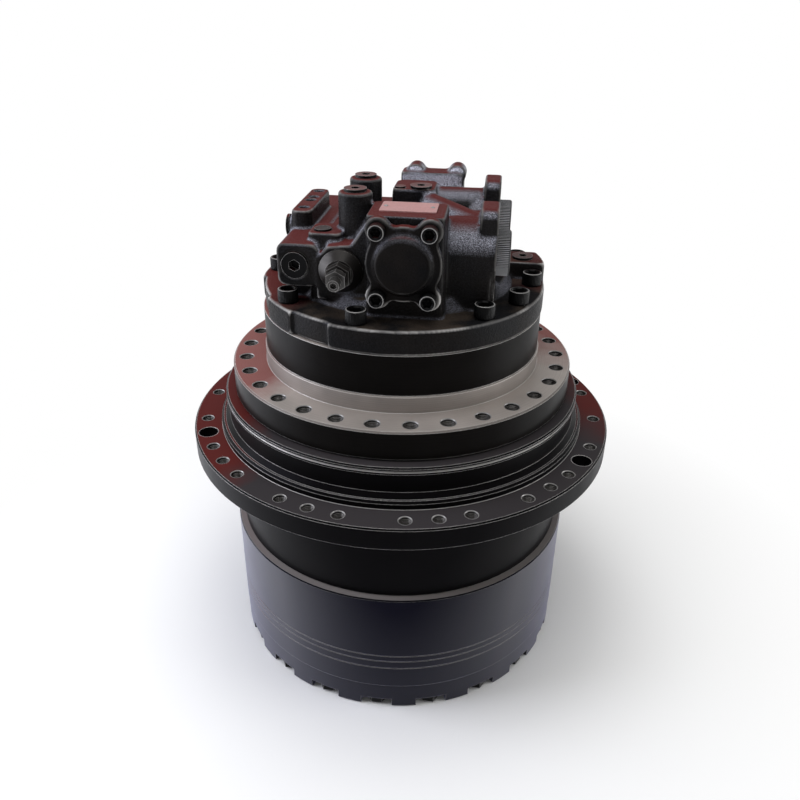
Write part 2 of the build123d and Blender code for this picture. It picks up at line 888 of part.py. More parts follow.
for letter, angle in zip("abc", first_angles):
    turn = mesh_turns(angle, first_sun_teeth, first_planet_teeth)[1]
    with BuildPart() as first_planet:
        with BuildSketch(Plane(origin=(*polar(first_centre, angle), first_low))):
            add(wheel_outline(first_planet_teeth, turn))
            Circle(first_pin_radius + sleeve_wall + running_fit, mode=Mode.SUBTRACT)
        extrude(amount=first_width)
    write_step(first_planet, f"first_planet_{letter}")

with BuildPart() as first_carrier:
    ring(first_centre + first_plate_rim, sun_hub + slip_fit, first_plate_low, first_plate_high)
    half_turn = 180 / first_planet_count
    between = [polar(first_centre + first_plate_rim, angle + half_turn) for angle in first_angles]
    drill(first_plate_rim, between, first_plate_low, first_plate)
    drill(first_pin_radius + slip_fit, first_spots, first_plate_low, first_plate)
write_step(first_carrier, "first_carrier")

with BuildPart() as first_pins:
    low = first_low - pin_collar - clearance
    posts(first_pin_radius, first_spots, low, first_plate_high - low)
    posts(first_pin_radius + sleeve_wall + pin_lip, first_spots, low, pin_collar)
write_step(first_pins, "first_pins")

with BuildPart() as first_sleeves:
    posts(first_pin_radius + sleeve_wall, first_spots, first_low, first_width)
    drill(first_pin_radius + slip_fit, first_spots, first_low, first_width)
write_step(first_sleeves, "first_sleeves")

# Second stage: its sun turns with the first carrier, its carrier is bolted to the spindle
with BuildPart() as second_sun:
    with BuildSketch(Plane.XY.offset(second_low)):
        add(wheel_outline(second_sun_teeth, second_sun_turn))
    extrude(amount=second_width)
    ring(sun_hub, second_bore, first_plate_low, second_low)
    bore(second_bore, (0, 0, second_low), (0, 0, 1), second_width)
write_step(second_sun, "second_sun")

for letter, angle in zip("abcd", second_angles):
    turn = mesh_turns(angle, second_sun_teeth, second_planet_teeth)[1]
    with BuildPart() as second_planet:
        with BuildSketch(Plane(origin=(*polar(second_centre, angle), second_low))):
            add(wheel_outline(second_planet_teeth, turn))
            Circle(second_pin_radius + sleeve_wall + running_fit, mode=Mode.SUBTRACT)
        extrude(amount=second_width)
    write_step(second_planet, f"second_planet_{letter}")

with BuildPart() as second_carrier:
    ring(second_centre + second_plate_rim, shaft_radius + carrier_bore_gap, second_plate_low, spindle_low)
    level = second_plate_low
    drill(second_pin_radius + slip_fit, second_spots, level, second_plate)
    drill(carrier_bolt_radius + clearance, carrier_bolt_spots, level, second_plate)
    drill(carrier_head_radius + clearance, carrier_bolt_spots, level, carrier_head_height)
write_step(second_carrier, "second_carrier")

with BuildPart() as second_pins:
    low = second_low - pin_collar - clearance
    posts(second_pin_radius, second_spots, low, spindle_low - low)
    posts(second_pin_radius + sleeve_wall + pin_lip, second_spots, low, pin_collar)
write_step(second_pins, "second_pins")

with BuildPart() as second_sleeves:
    posts(second_pin_radius + sleeve_wall, second_spots, second_low, second_width)
    drill(second_pin_radius + slip_fit, second_spots, second_low, second_width)
write_step(second_sleeves, "second_sleeves")

with BuildPart() as carrier_bolts:
    level = second_plate_low + carrier_head_height
    posts(carrier_head_radius, carrier_bolt_spots, level, -carrier_head_height)
    posts(carrier_bolt_radius, carrier_bolt_spots, level, spindle_low - level + carrier_bolt_grip)
write_step(carrier_bolts, "carrier_bolts")

# Motor: shaft, cylinder block and pistons turn together on a fixed swash plate
shaft_low = cover_floor + pad_height + pad_play
rear_bearing = case_high - spigot_depth / 2
shaft_high = rear_bearing + shaft_bearing_length

with BuildPart() as drive_shaft:
    turned(
        (0, shaft_low),
        (sun_bore - slip_fit, shaft_low),
        (sun_bore - slip_fit, first_high),
        (shaft_radius, first_high),
        (shaft_radius, shaft_high - 2),
        (shaft_radius - 2, shaft_high),
        (0, shaft_high),
    )
write_step(drive_shaft, "drive_shaft")

with BuildPart() as shaft_bearings:
    ring(bearing_outside - slip_fit, shaft_radius + running_fit, front_bearing, partition_high)
    ring(bearing_outside - slip_fit, shaft_radius + running_fit, rear_bearing, shaft_high)
write_step(shaft_bearings, "shaft_bearings")

with BuildPart() as shaft_seal:
    seal_top = partition_low + shaft_seal_length
    ring(shaft_radius + shaft_seal_wall - slip_fit, shaft_radius + running_fit, partition_low, seal_top)
write_step(shaft_seal, "shaft_seal")

with BuildPart() as swash_plate:
    ring(inner_cavity - swash_rim, swash_bore, partition_high, swash_high)
write_step(swash_plate, "swash_plate")

piston_spots = [polar(piston_circle, 360 / piston_count * place) for place in range(piston_count)]
slipper_low = swash_high + running_fit
ball_height = slipper_low + slipper_height - ball_sink

with BuildPart() as slippers:
    posts(slipper_radius, piston_spots, slipper_low, slipper_flange)
    posts(slipper_neck, piston_spots, slipper_low, slipper_height)
    with Locations(*[(*spot, ball_height) for spot in piston_spots]):
        Sphere(ball_radius + slip_fit, mode=Mode.SUBTRACT)
write_step(slippers, "slippers")

with BuildPart() as retainer_plate:
    low = slipper_low + slipper_flange + slip_fit
    ring(piston_circle + slipper_radius, shaft_radius + slip_fit, low, low + retainer_thickness)
    drill(slipper_neck + clearance, piston_spots, low, retainer_thickness)
write_step(retainer_plate, "retainer_plate")

with BuildPart() as pistons:
    low = ball_height + piston_rise
    posts(piston_neck, piston_spots, ball_height, piston_rise)
    posts(piston_radius, piston_spots, low, block_high - piston_end_gap - low)
    with Locations(*[(*spot, ball_height) for spot in piston_spots]):
        Sphere(ball_radius)
write_step(pistons, "pistons")

with BuildPart() as cylinder_block:
    ring(block_radius, shaft_radius + slip_fit, block_low, block_high)
    bore_depth = block_high - block_low - block_wall
    drill(piston_radius + slip_fit, piston_spots, block_low, bore_depth)
    drill(kidney_radius, piston_spots, block_high, -block_wall)
write_step(cylinder_block, "cylinder_block")

with BuildPart() as valve_plate:
    ring(block_radius, shaft_radius + valve_plate_gap, block_high + running_fit, spigot_low)
    for side in (-1, 1):
        with BuildSketch(Plane.XY.offset(block_high)):
            SlotArc(CenterArc((0, 0), piston_circle, 90 * side - kidney_sweep / 2, kidney_sweep), 2 * kidney_radius)
        extrude(amount=valve_plate_thickness, mode=Mode.SUBTRACT)
write_step(valve_plate, "valve_plate")

with BuildPart() as brake_friction_plates:
    for place in range(friction_plates):
        low = brake_ledge + (2 * place + 1) * plate_pitch
        ring(cavity_radius - plate_tooth, block_radius + slip_fit, low, low + plate_thickness)
write_step(brake_friction_plates, "brake_friction_plates")

with BuildPart() as brake_separators:
    for place in range(friction_plates + 1):
        low = brake_ledge + 2 * place * plate_pitch
        ring(cavity_radius - slip_fit, block_radius + separator_gap, low, low + plate_thickness)
write_step(brake_separators, "brake_separators")

with BuildPart() as brake_piston:
    turned(
        (cavity_radius - brake_piston_lip, brake_piston_low),
        (cavity_radius - brake_groove, brake_piston_low),
        (cavity_radius - brake_groove, brake_piston_low + brake_seal_land),
        (cavity_radius - running_fit, brake_piston_low + brake_seal_land),
        (cavity_radius - running_fit, brake_spring_low),
        (cavity_radius - brake_piston_lip, brake_spring_low),
    )
write_step(brake_piston, "brake_piston")

with BuildPart() as brake_disc_spring:
    turned(
        (cavity_radius - disc_gap, brake_spring_low + running_fit),
        (cavity_radius - disc_gap, brake_spring_low + disc_sheet),
        (cavity_radius - brake_piston_lip, spigot_low - running_fit),
        (cavity_radius - brake_piston_lip, spigot_low - disc_sheet),
    )
write_step(brake_disc_spring, "brake_disc_spring")

# Motor cover: scalloped flange, valve casting with its bores, and what is fitted to it
regulator_z = deck + regulator_rise
port_z = deck + port_rise
spool_z = deck + spool_rise
spool_length = 2 * (spool_face - end_plug_length - spring_room)
tower_z = deck + tower_rise
plateau_z = deck + plateau_rise
relief_z = deck + relief_rise
rail_z = deck + rail_rise
front_top = deck + front_rise
front_x_range = (front_x - front_width / 2, front_x + front_width / 2)
relief_axis = (0, -math.cos(math.radians(relief_tilt)), -math.sin(math.radians(relief_tilt)))
relief_inward = tuple(-step for step in relief_axis)
relief_start = (relief_x, relief_seat - relief_face, relief_z)
control_depth = control_length + control_travel + control_spring
tower_spots = [(tower_x, place, tower_z) for place in tower_places]
top_spots = [(*plateau_plug, plateau_z), *tower_spots, (*ear_plug, deck + ear_rise)]
side_pad_x = rail_x - rail_width / 2 - side_pad_reach
side_spots = [(side_pad_x, place, spool_z + side_pad_lift) for place in side_pad_places]


def along_relief(distance):
    """Point on the relief valve's axis at a distance in front of its boss."""
    return tuple(start + distance * step for start, step in zip(relief_start, relief_axis))


with BuildPart() as motor_cover:
    ring(land_radius, 0, case_high, deck)
    for start, end in scallops:
        sector(land_radius + land_step, land_radius - scallop_depth, case_high, deck, start, end)
    ring(cavity_radius - running_fit, 0, spigot_low, case_high)
    with BuildSketch(Plane.XY.offset(deck)):
        Circle(body_radius)
    extrude(amount=body_rise, taper=body_taper)
    block(core_x, core_y, deck, deck + core_rise, core_corner, draft)
    front_y = (-front_face, front_depth - front_face)
    block(front_x_range, front_y, deck, front_top, front_corner, front_draft)
    block(back_x, back_y, deck, deck + back_rise, back_corner, back_draft)
    for place in bump_places:
        spot = (place, back_y[0] + bump_setback, deck + back_rise - bump_sink)
        bar(bump_radius, spot, (0, 1, 0), back_y[1] - back_y[0] - bump_setback)
    for side in (-1, 1):
        centre = (port_start, side * port_y, port_z)
        bar(port_radius, centre, (1, 0, 0), port_face - port_start)
        reach = (side * port_y - port_radius, side * port_y + port_radius)
        block((port_start, port_face - port_setback), reach, deck, port_z, port_setback)
        lug_plane = Plane(origin=(port_face, side * port_y, port_z), x_dir=(0, 1, 0), z_dir=(-1, 0, 0))
        with BuildSketch(lug_plane) as lug:
            RectangleRounded(port_bolt_y + 2 * lug_margin_y, port_bolt_z + 2 * lug_margin_z, lug_margin_y)
        extrude(lug.sketch, amount=lug_length)
    for start, end in zip(arm_starts, arm_ends):
        low, high = ((*spot, deck + rise) for spot, rise in zip((start, end), arm_rises))
        bar(arm_radius, low, tuple(b - a for a, b in zip(low, high)), math.dist(low, high))
    block(plateau_x, plateau_y, deck, plateau_z, plateau_corner, draft)
    block(shoulder_x, shoulder_y, deck, deck + shoulder_rise, shoulder_corner)
    posts(tower_radius, [(tower_x, place) for place in tower_places], deck, tower_rise)
    with BuildSketch(Plane.XY.offset(deck)) as ear:
        with Locations(((ear_x[0] + ear_x[1]) / 2, (ear_y[0] + ear_y[1]) / 2)):
            RectangleRounded(ear_x[1] - ear_x[0], ear_y[1] - ear_y[0], ear_corner)
        Circle(land_radius, mode=Mode.INTERSECT)
    extrude(ear.sketch, amount=ear_rise)
    middle = sum(spool_block_x) / 2
    spool_plane = Plane(origin=(middle, -spool_face, spool_z), x_dir=(1, 0, 0), z_dir=(0, 1, 0))
    with BuildSketch(spool_plane) as spool_block:
        RectangleRounded(spool_block_x[1] - spool_block_x[0], spool_block_height, spool_block_corner)
    extrude(spool_block.sketch, amount=2 * spool_face)
    rib_x = (spool_block_x[0] + spool_rib_inset, spool_block_x[1])
    block(rib_x, (-spool_rib_y, spool_rib_y), deck, spool_z, 2 * spool_rib_inset)
    block((rail_x - rail_width / 2, rail_x + rail_width / 2), rail_y, spool_z, rail_z, rail_corner)
    for spot in side_spots:
        bar(side_pad_radius, spot, (1, 0, 0), rail_width)
    relief_plane = Plane(origin=(0, -relief_face, deck), x_dir=(1, 0, 0), z_dir=(0, -1, 0))
    with BuildSketch(relief_plane) as relief_block:
        with BuildLine():
            Polyline(*relief_outline, close=True)
        make_face()
    extrude(relief_block.sketch, amount=-relief_depth)
    # Bores, taps and the room over each flange bolt
    drill(deck_bolt_radius + clearance, deck_spots, case_high, deck_thickness)
    drill(deck_head_radius + head_clearance, deck_spots, deck, deck_head_height + head_room_above)
    bore(bearing_outside, (0, 0, spigot_low), (0, 0, 1), shaft_high + 2 - spigot_low)
    for side in (-1, 1):
        for dy in (-port_bolt_y / 2, port_bolt_y / 2):
            for dz in (-port_bolt_z / 2, port_bolt_z / 2):
                spot = (port_face, side * port_y + dy, port_z + dz)
                bore(port_bolt_radius, spot, (-1, 0, 0), port_bolt_depth)
        centre = (port_face, side * port_y, port_z)
        bore(port_bore, centre, (-1, 0, 0), port_depth)
    bore(spool_bore, (spool_x, -spool_face, spool_z), (0, 1, 0), 2 * spool_face)
    for side in (-1, 1):
        face = (spool_x, side * spool_face, spool_z)
        bore(end_plug_radius + slip_fit, face, (0, -side, 0), end_plug_length)
    bore(control_bore, (front_x, -front_face, regulator_z), (0, 1, 0), control_depth)
    for dx in (-regulator_bolt_x / 2, regulator_bolt_x / 2):
        for dz in (-regulator_bolt_z / 2, regulator_bolt_z / 2):
            spot = (front_x + dx, -front_face, regulator_z + dz)
            bore(regulator_screw + slip_fit, spot, (0, 1, 0), regulator_grip + drill_point)
    for spot in top_spots:
        bore(plug_thread + slip_fit, spot, (0, 0, -1), plug_depth)
    for spot in side_spots:
        bore(plug_thread + slip_fit, spot, (1, 0, 0), plug_depth)
    rail_spots = [(rail_x, place) for place in rail_hole_places]
    drill(rail_hole_radius, rail_spots, rail_z, -rail_hole_depth)
    for x, y, rise, radius in flush_plugs:
        bore(radius + slip_fit, (x, y, deck + rise), (0, 0, -1), flush_depth)
    bore(relief_thread + slip_fit, relief_start, relief_inward, relief_thread_depth + clearance)
    bore(relief_collar + clearance, relief_start, relief_axis, relief_collar_length + relief_seat)
write_step(motor_cover, "motor_cover")

with BuildPart() as motor_cover_bolts:
    posts(deck_head_radius, deck_spots, deck, deck_head_height)
    posts(deck_bolt_radius, deck_spots, deck, -deck_thickness - deck_bolt_grip)
    hexagon_posts(deck_socket, deck_spots, deck + deck_head_height, -deck_head_height / 2, mode=Mode.SUBTRACT)
write_step(motor_cover_bolts, "motor_cover_bolts")

with BuildPart() as regulator_cover:
    with BuildSketch(Plane(origin=(front_x, -front_face, regulator_z), x_dir=(1, 0, 0), z_dir=(0, -1, 0))):
        Rectangle(regulator_bolt_x, regulator_bolt_z)
        Circle(regulator_bolt_x / 2 + regulator_lobe)
        with GridLocations(regulator_bolt_x, regulator_bolt_z, 2, 2):
            Circle(regulator_lobe)
    extrude(amount=regulator_plate)
    waists = regulator_cover.edges().filter_by(Axis.Y)
    fillet(waists, regulator_fillet)
    bar(regulator_dome, (front_x, -front_face, regulator_z), (0, -1, 0), dome_height)
    rim = regulator_cover.faces().sort_by(Axis.Y)[0].edges()
    chamfer(rim, dome_chamfer)
    bore(control_bore, (front_x, -front_face, regulator_z), (0, -1, 0), regulator_plate)
    for dx in (-regulator_bolt_x / 2, regulator_bolt_x / 2):
        for dz in (-regulator_bolt_z / 2, regulator_bolt_z / 2):
            spot = (front_x + dx, -front_face, regulator_z + dz)
            bore(regulator_screw + clearance, spot, (0, -1, 0), regulator_plate)
write_step(regulator_cover, "regulator_cover")

with BuildPart() as regulator_bolts:
    for dx in (-regulator_bolt_x / 2, regulator_bolt_x / 2):
        for dz in (-regulator_bolt_z / 2, regulator_bolt_z / 2):
            spot = (front_x + dx, -front_face - regulator_plate, regulator_z + dz)
            face = (spot[0], spot[1] - regulator_head_height, spot[2])
            bar(regulator_head, spot, (0, -1, 0), regulator_head_height)
            bar(regulator_screw, spot, (0, 1, 0), regulator_plate + regulator_grip)
            hexagon(plug_socket, face, (0, 1, 0), regulator_head_height / 2, mode=Mode.SUBTRACT)
write_step(regulator_bolts, "regulator_bolts")

# Speed control spool behind the regulator cover, pushed to rest by its spring
control_front = clearance - front_face - regulator_plate

with BuildPart() as speed_control_spool:
    start = (front_x, control_front, regulator_z)
    bar(control_bore - running_fit, start, (0, 1, 0), control_length)
    waist = (front_x, control_front + control_length / 3, regulator_z)
    with BuildSketch(Plane(origin=waist, z_dir=(0, 1, 0))) as undercut:
        Circle(control_bore + 1)
        Circle(control_bore - control_waist, mode=Mode.SUBTRACT)
    extrude(undercut.sketch, amount=control_length / 4, mode=Mode.SUBTRACT)
write_step(speed_control_spool, "speed_control_spool")

with BuildPart() as speed_control_spring:
    low = control_front + control_length + spring_wire + clearance
    high = control_depth - front_face - spring_wire - clearance
    coil(control_bore - 2 * spring_wire - 1, low, high, spring_turns, (front_x, 0, regulator_z), (0, 1, 0))
write_step(speed_control_spring, "speed_control_spring")

with BuildPart() as counterbalance_spool:
    start = (spool_x, -spool_length / 2, spool_z)
    bar(spool_bore - running_fit, start, (0, 1, 0), spool_length)
    for side in (-1, 1):
        inner = (spool_x, side * spool_land / 2, spool_z)
        with BuildSketch(Plane(origin=inner, z_dir=(0, side, 0))) as undercut:
            Circle(spool_bore + 1)
            Circle(spool_waist, mode=Mode.SUBTRACT)
        extrude(undercut.sketch, amount=spool_land / 2, mode=Mode.SUBTRACT)
write_step(counterbalance_spool, "counterbalance_spool")

with BuildPart() as counterbalance_springs:
    low = spool_length / 2 + spring_wire + clearance
    high = spool_face - end_plug_length - spring_wire - clearance
    for side in (-1, 1):
        coil(spool_bore - 2 * spring_wire - 1, low, high, spring_turns, (spool_x, 0, spool_z), (0, side, 0))
write_step(counterbalance_springs, "counterbalance_springs")

with BuildPart() as spool_end_plugs:
    for side in (-1, 1):
        face = (spool_x, side * (spool_face + end_plug_proud), spool_z)
        bar(end_plug_radius, face, (0, -side, 0), end_plug_length + end_plug_proud)
        hexagon(end_plug_socket, face, (0, -side, 0), end_socket_depth, mode=Mode.SUBTRACT)
write_step(spool_end_plugs, "spool_end_plugs")

dome_start = relief_collar_length
hexagon_start = dome_start + relief_dome_length
neck_start = hexagon_start + relief_hexagon_length
nut_start = neck_start + relief_neck

with BuildPart() as relief_valve:
    bar(relief_thread, relief_start, relief_inward, relief_thread_depth)
    bar(relief_collar, relief_start, relief_axis, relief_collar_length)
    with Locations(Plane(origin=along_relief(dome_start), z_dir=relief_axis)):
        upwards = (Align.CENTER, Align.CENTER, Align.MIN)
        Cone(relief_collar, relief_dome, relief_dome_length, align=upwards)
    hexagon(relief_across, along_relief(hexagon_start), relief_axis, relief_hexagon_length)
    bar(relief_thread, along_relief(neck_start), relief_axis, relief_neck)
    bore(screw_radius + slip_fit, along_relief(nut_start), relief_inward, nut_start + screw_back + clearance)
write_step(relief_valve, "relief_valve")

with BuildPart() as relief_locknut:
    hexagon(nut_across, along_relief(nut_start), relief_axis, nut_length)
    bore(screw_radius + slip_fit, along_relief(nut_start), relief_axis, nut_length)
write_step(relief_locknut, "relief_locknut")

with BuildPart() as relief_screw:
    bar(screw_radius, along_relief(-screw_back), relief_axis, screw_back + screw_reach)
    hexagon(screw_socket, along_relief(screw_reach), relief_inward, screw_socket_depth, mode=Mode.SUBTRACT)
write_step(relief_screw, "relief_screw")

with BuildPart() as gauge_plugs:
    for spot in top_spots:
        plug(spot, (0, 0, 1))
    for spot in side_spots:
        plug(spot, (-1, 0, 0))
    for x, y, rise, radius in flush_plugs:
        level = deck + rise
        bar(radius, (x, y, level - flush_depth + clearance), (0, 0, 1), flush_depth + flush_height)
        hexagon(radius, (x, y, level + flush_height), (0, 0, -1), flush_depth / 2, mode=Mode.SUBTRACT)
write_step(gauge_plugs, "gauge_plugs")

with BuildPart() as port_caps:
    for side in (-1, 1):
        face = (port_face, side * port_y, port_z)
        end = (port_face + cap_thickness, side * port_y, port_z)
        bar(cap_radius, face, (1, 0, 0), cap_thickness)
        bar(port_bore - clearance, face, (-1, 0, 0), port_depth / 2)
        bore(cap_recess, end, (-1, 0, 0), cap_recess_depth)
write_step(port_caps, "port_caps")

with BuildPart() as nameplate:
    with BuildSketch(Plane(origin=(front_x, plate_setback - front_face, front_top))):
        RectangleRounded(plate_width, plate_depth, plate_corner)
    extrude(amount=plate_sheet)
write_step(nameplate, "nameplate")
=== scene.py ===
"""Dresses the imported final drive: painted drum, cast motor cover, screws, caps and stage."""

import json
import math

import bmesh
import bpy
import numpy as np
from mathutils import Matrix, Vector

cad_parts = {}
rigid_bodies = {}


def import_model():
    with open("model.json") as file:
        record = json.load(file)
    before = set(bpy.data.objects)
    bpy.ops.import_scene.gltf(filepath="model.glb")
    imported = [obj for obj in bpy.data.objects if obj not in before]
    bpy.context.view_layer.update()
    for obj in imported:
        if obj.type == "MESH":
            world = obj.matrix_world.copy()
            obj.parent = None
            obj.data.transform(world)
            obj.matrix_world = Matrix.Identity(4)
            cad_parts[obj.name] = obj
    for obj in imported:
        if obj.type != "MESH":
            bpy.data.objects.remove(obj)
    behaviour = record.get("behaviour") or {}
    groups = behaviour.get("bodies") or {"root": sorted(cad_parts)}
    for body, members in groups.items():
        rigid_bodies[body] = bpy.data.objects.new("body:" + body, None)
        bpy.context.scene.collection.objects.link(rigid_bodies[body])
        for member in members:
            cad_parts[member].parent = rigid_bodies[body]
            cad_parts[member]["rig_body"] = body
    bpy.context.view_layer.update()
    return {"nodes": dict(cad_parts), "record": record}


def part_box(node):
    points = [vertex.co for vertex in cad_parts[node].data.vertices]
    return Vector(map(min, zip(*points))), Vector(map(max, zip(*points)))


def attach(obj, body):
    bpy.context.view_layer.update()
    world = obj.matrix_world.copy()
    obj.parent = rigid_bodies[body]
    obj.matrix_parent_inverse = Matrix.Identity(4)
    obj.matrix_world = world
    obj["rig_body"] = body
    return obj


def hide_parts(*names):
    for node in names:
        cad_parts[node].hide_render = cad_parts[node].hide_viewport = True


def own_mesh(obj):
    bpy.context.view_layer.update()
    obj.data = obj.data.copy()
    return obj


bl_info = {
    "name": "Final Drive Dressing",
    "version": (1, 0, 0),
    "blender": (4, 5, 0),
    "location": "View3D > Sidebar > Final Drive",
    "description": "Finishes and fine pieces for a travel motor with its planetary drum",
    "category": "Object",
}

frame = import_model()

TURN = 2 * math.pi
WHITE = (1, 1, 1)

# Levels in the drive's frame, in metres: where a finish begins to change and where it has changed
PILOT_FOOT, PILOT_HEAD = (0.4165, 0.4175), (0.4375, 0.4385)
DECK_FACE, DECK_RIM, DECK_GLINT = (0.548, 0.560), (0.55, 0.56), (0.55, 0.58)
TOWER_TOPS = 0.6, 0.615
BACK_WALL_DEPTH, BACK_WALL_LEVEL = (0.07, 0.08), (0.592, 0.615)
LEDGE_SPAN, LEDGE_FADE = 0.04, 0.004

# Ranges of the lathe streaks, and of the bend of a casting at its corners, slopes and hollows
STREAKS, WIDE_STREAKS = (0.35, 0.65), (0.3, 0.7)
SHARP_BEND, ROUND_BEND, HOLLOW_BEND = (0.518, 0.556), (0.505, 0.53), (0.465, 0.49)

# Relief and edges of painted and turned surfaces, in metres
SKIN, FINE_SKIN = 0.00004, 0.00003
EDGE_REACH, EDGE_ROUND = 0.0017, 0.0012

# Profile of a port cap in metres: how far in from its rim or its dish, or out from its middle,
# and how far up from its foot or down from its top
CAP_FOOT, CAP_SHOULDER = ((0.0022, 0), (0.0012, 0.0008)), ((0.0012, 0.0005), (0.0026, 0))
CAP_GRIP_FOOT, CAP_GRIP_TOP = 0.0014, 0.0016
CAP_DISH = (-0.001, 0), (0, 0.0008), (0.0006, 0.002)
CAP_BOSS = (0.006, 0.002), (0.005, 0.0012), (0.002, 0.0011)

# Soft boxes in metres: place, then width and height
LEFT_BOX, RIGHT_BOX = ((-1.35, -0.35, 0.75), (0.9, 1.5)), ((1.4, -0.2, 0.45), (0.8, 0.8))
TOP_BOX = (-0.05, -0.15, 2.0), (1.5, 1.5)
LAMP_AIM = 0, 0, 0.35


def tint(name, description, *colour):
    """A finish colour that a user may change."""
    return bpy.props.FloatVectorProperty(name=name, description=description, default=(*colour, 1),
                                         size=4, min=0, max=1, subtype="COLOR")


def length(name, description, default, low, high):
    """A length that a user may change."""
    return bpy.props.FloatProperty(name=name, description=description, default=default, min=low,
                                   max=high, subtype="DISTANCE", unit="LENGTH", precision=5)


def tally(name, description, default, low, high):
    """A count that a user may change."""
    return bpy.props.IntProperty(name=name, description=description, default=default, min=low,
                                 max=high)


def power(name, description, default):
    """A lamp's power that a user may change."""
    return bpy.props.FloatProperty(name=name, description=description, default=default, min=0,
                                   unit="POWER")


def angle(name, description, degrees):
    """An angle that a user may change."""
    return bpy.props.FloatProperty(name=name, description=description, subtype="ANGLE",
                                   default=math.radians(degrees))


class FinishColours(bpy.types.PropertyGroup):
    """Colours of the paints, metals, rubber and plastic."""

    drum_black: tint("Drum black", "Satin blue-black enamel on the drum", 0.0027, 0.0026, 0.0031)
    drum_sheen: tint("Drum sheen", "Violet cast of the enamel's shine", 0.4, 0.4, 1)
    hub_black: tint("Hub black", "Satin black enamel on the sprocket hub", 0.0024, 0.0022, 0.0022)
    hub_sheen: tint("Hub sheen", "Neutral cast of the hub's shine", 0.76, 0.75, 0.92)
    casting_black: tint(
        "Casting black", "Gloss paint over the sand casting", 0.0022, 0.0022, 0.0025)
    casting_brown: tint("Casting brown", "Thin wax that runs over the casting", 0.044, 0.033, 0.024)
    # A painted glint: light catching the sand grain on sloping faces is painted into this colour
    painted_glint_silver: tint(
        "Grain silver", "Glints of the sand grain on sloping faces", 0.62, 0.63, 0.74)
    # A painted reflection: red light reflected on the top faces, strongest at the left and back, is
    # painted into this colour
    painted_red_reflection: tint(
        "Primer red", "Red oxide that shows through thin paint on top faces", 0.084, 0.015, 0.013)
    # Partly worn edges and partly a painted highlight: edges are worn bare and painted light where
    # light catches them
    worn_and_highlit_steel: tint("Rubbed steel", "Metal bared along worn edges", 0.72, 0.7, 0.68)
    # A painted highlight on the worn rims of screw heads, rivets and flange holes
    worn_rim_highlight_steel: tint(
        "Rim steel", "Rubbed rims of screw heads, rivets and flange holes", 0.26, 0.255, 0.25)
    valve_brown: tint("Valve brown", "Tarnished body of the relief valve", 0.017, 0.0145, 0.013)
    valve_grey: tint("Valve grey", "Locknut and screw of the relief valve", 0.058, 0.055, 0.053)
    machined_grey: tint(
        "Machined grey", "Bare turned steel of flange faces and ledges", 0.4, 0.362, 0.335)
    hole_grey: tint("Hole grey", "Oily cut steel of the flange threads", 0.06, 0.055, 0.051)
    spindle_black: tint(
        "Spindle black", "Oiled dark steel of the spindle's walls", 0.0026, 0.0022, 0.002)
    screw_black: tint("Screw black", "Black oxide on screws and plugs", 0.0026, 0.0026, 0.0028)
    gear_steel: tint("Gear steel", "Ground and hardened gear steel", 0.36, 0.35, 0.34)
    carrier_iron: tint("Carrier iron", "Nodular iron of the planet carriers", 0.13, 0.125, 0.12)
    bearing_bronze: tint(
        "Bearing bronze", "Bronze of sleeves, slippers and valve plate", 0.42, 0.25, 0.09)
    seal_black: tint("Seal black", "Rubber of the seal rings", 0.012, 0.012, 0.013)
    cap_black: tint("Cap black", "Moulded plastic of the port caps", 0.01, 0.01, 0.011)
    # A painted highlight on the crest and one side of each ridge of the port caps
    cap_ridge_highlight: tint("Cap crest", "Rubbed crests of the port caps' ridges", 0.26, 0.26, 0.27)
    plate_pink: tint("Plate metal", "Tinned plate with a red cast", 0.56, 0.28, 0.27)
    # Mixed into the top faces of the hub, which it makes lighter grey
    flange_grey: tint("Flange grey", "Dust on the top faces of the hub", 0.04, 0.036, 0.038)
    # Partly a worn edge and partly a painted highlight on the edge of the plate
    plate_edge: tint("Plate edge", "Rubbed edge of the bare plate", 0.62, 0.5, 0.48)


class CastingSizes(bpy.types.PropertyGroup):
    """How far the castings are rounded."""

    grain: length("Casting grain", "Edge of the cells that the casting is rebuilt from",
                  0.0018, 0.001, 0.006)
    rounds: tally("Rounding passes", "Passes that round the casting's corners", 5, 0, 60)
    most_faces: tally("Most faces", "Triangles left on a casting", 170000, 20000, 190000)


class ScrewSizes(bpy.types.PropertyGroup):
    """Fine shapes of the socket screws, caps, rivets and threads."""

    knurl_count: tally("Head ridges", "Ridges round a socket screw's head", 40, 12, 90)
    knurl_depth: length("Ridge depth", "Depth of the ridges on a screw head", 0.00035, 0, 0.001)
    cap_ridges: tally("Cap ridges", "Finger ridges round a port cap", 76, 12, 120)
    cap_ridge_depth: length("Cap ridge depth", "Depth of the finger ridges", 0.0009, 0, 0.003)
    rivet_radius: length("Rivet radius", "Head radius of the plate's rivets", 0.0026, 0.001, 0.006)
    rivet_height: length("Rivet height", "Height of the plate's rivets", 0.0012, 0.0005, 0.003)
    thread_pitch: length("Thread pitch", "Rise of one turn in a flange hole", 0.002, 0.001, 0.004)
    thread_depth: length("Thread depth", "How far a thread stands out", 0.0009, 0.0002, 0.002)
    thread_turns: tally("Thread turns", "Turns of thread in a flange hole", 9, 2, 16)
    rim_width: length("Rim width", "Bright edge round a flange hole", 0.0005, 0, 0.003)


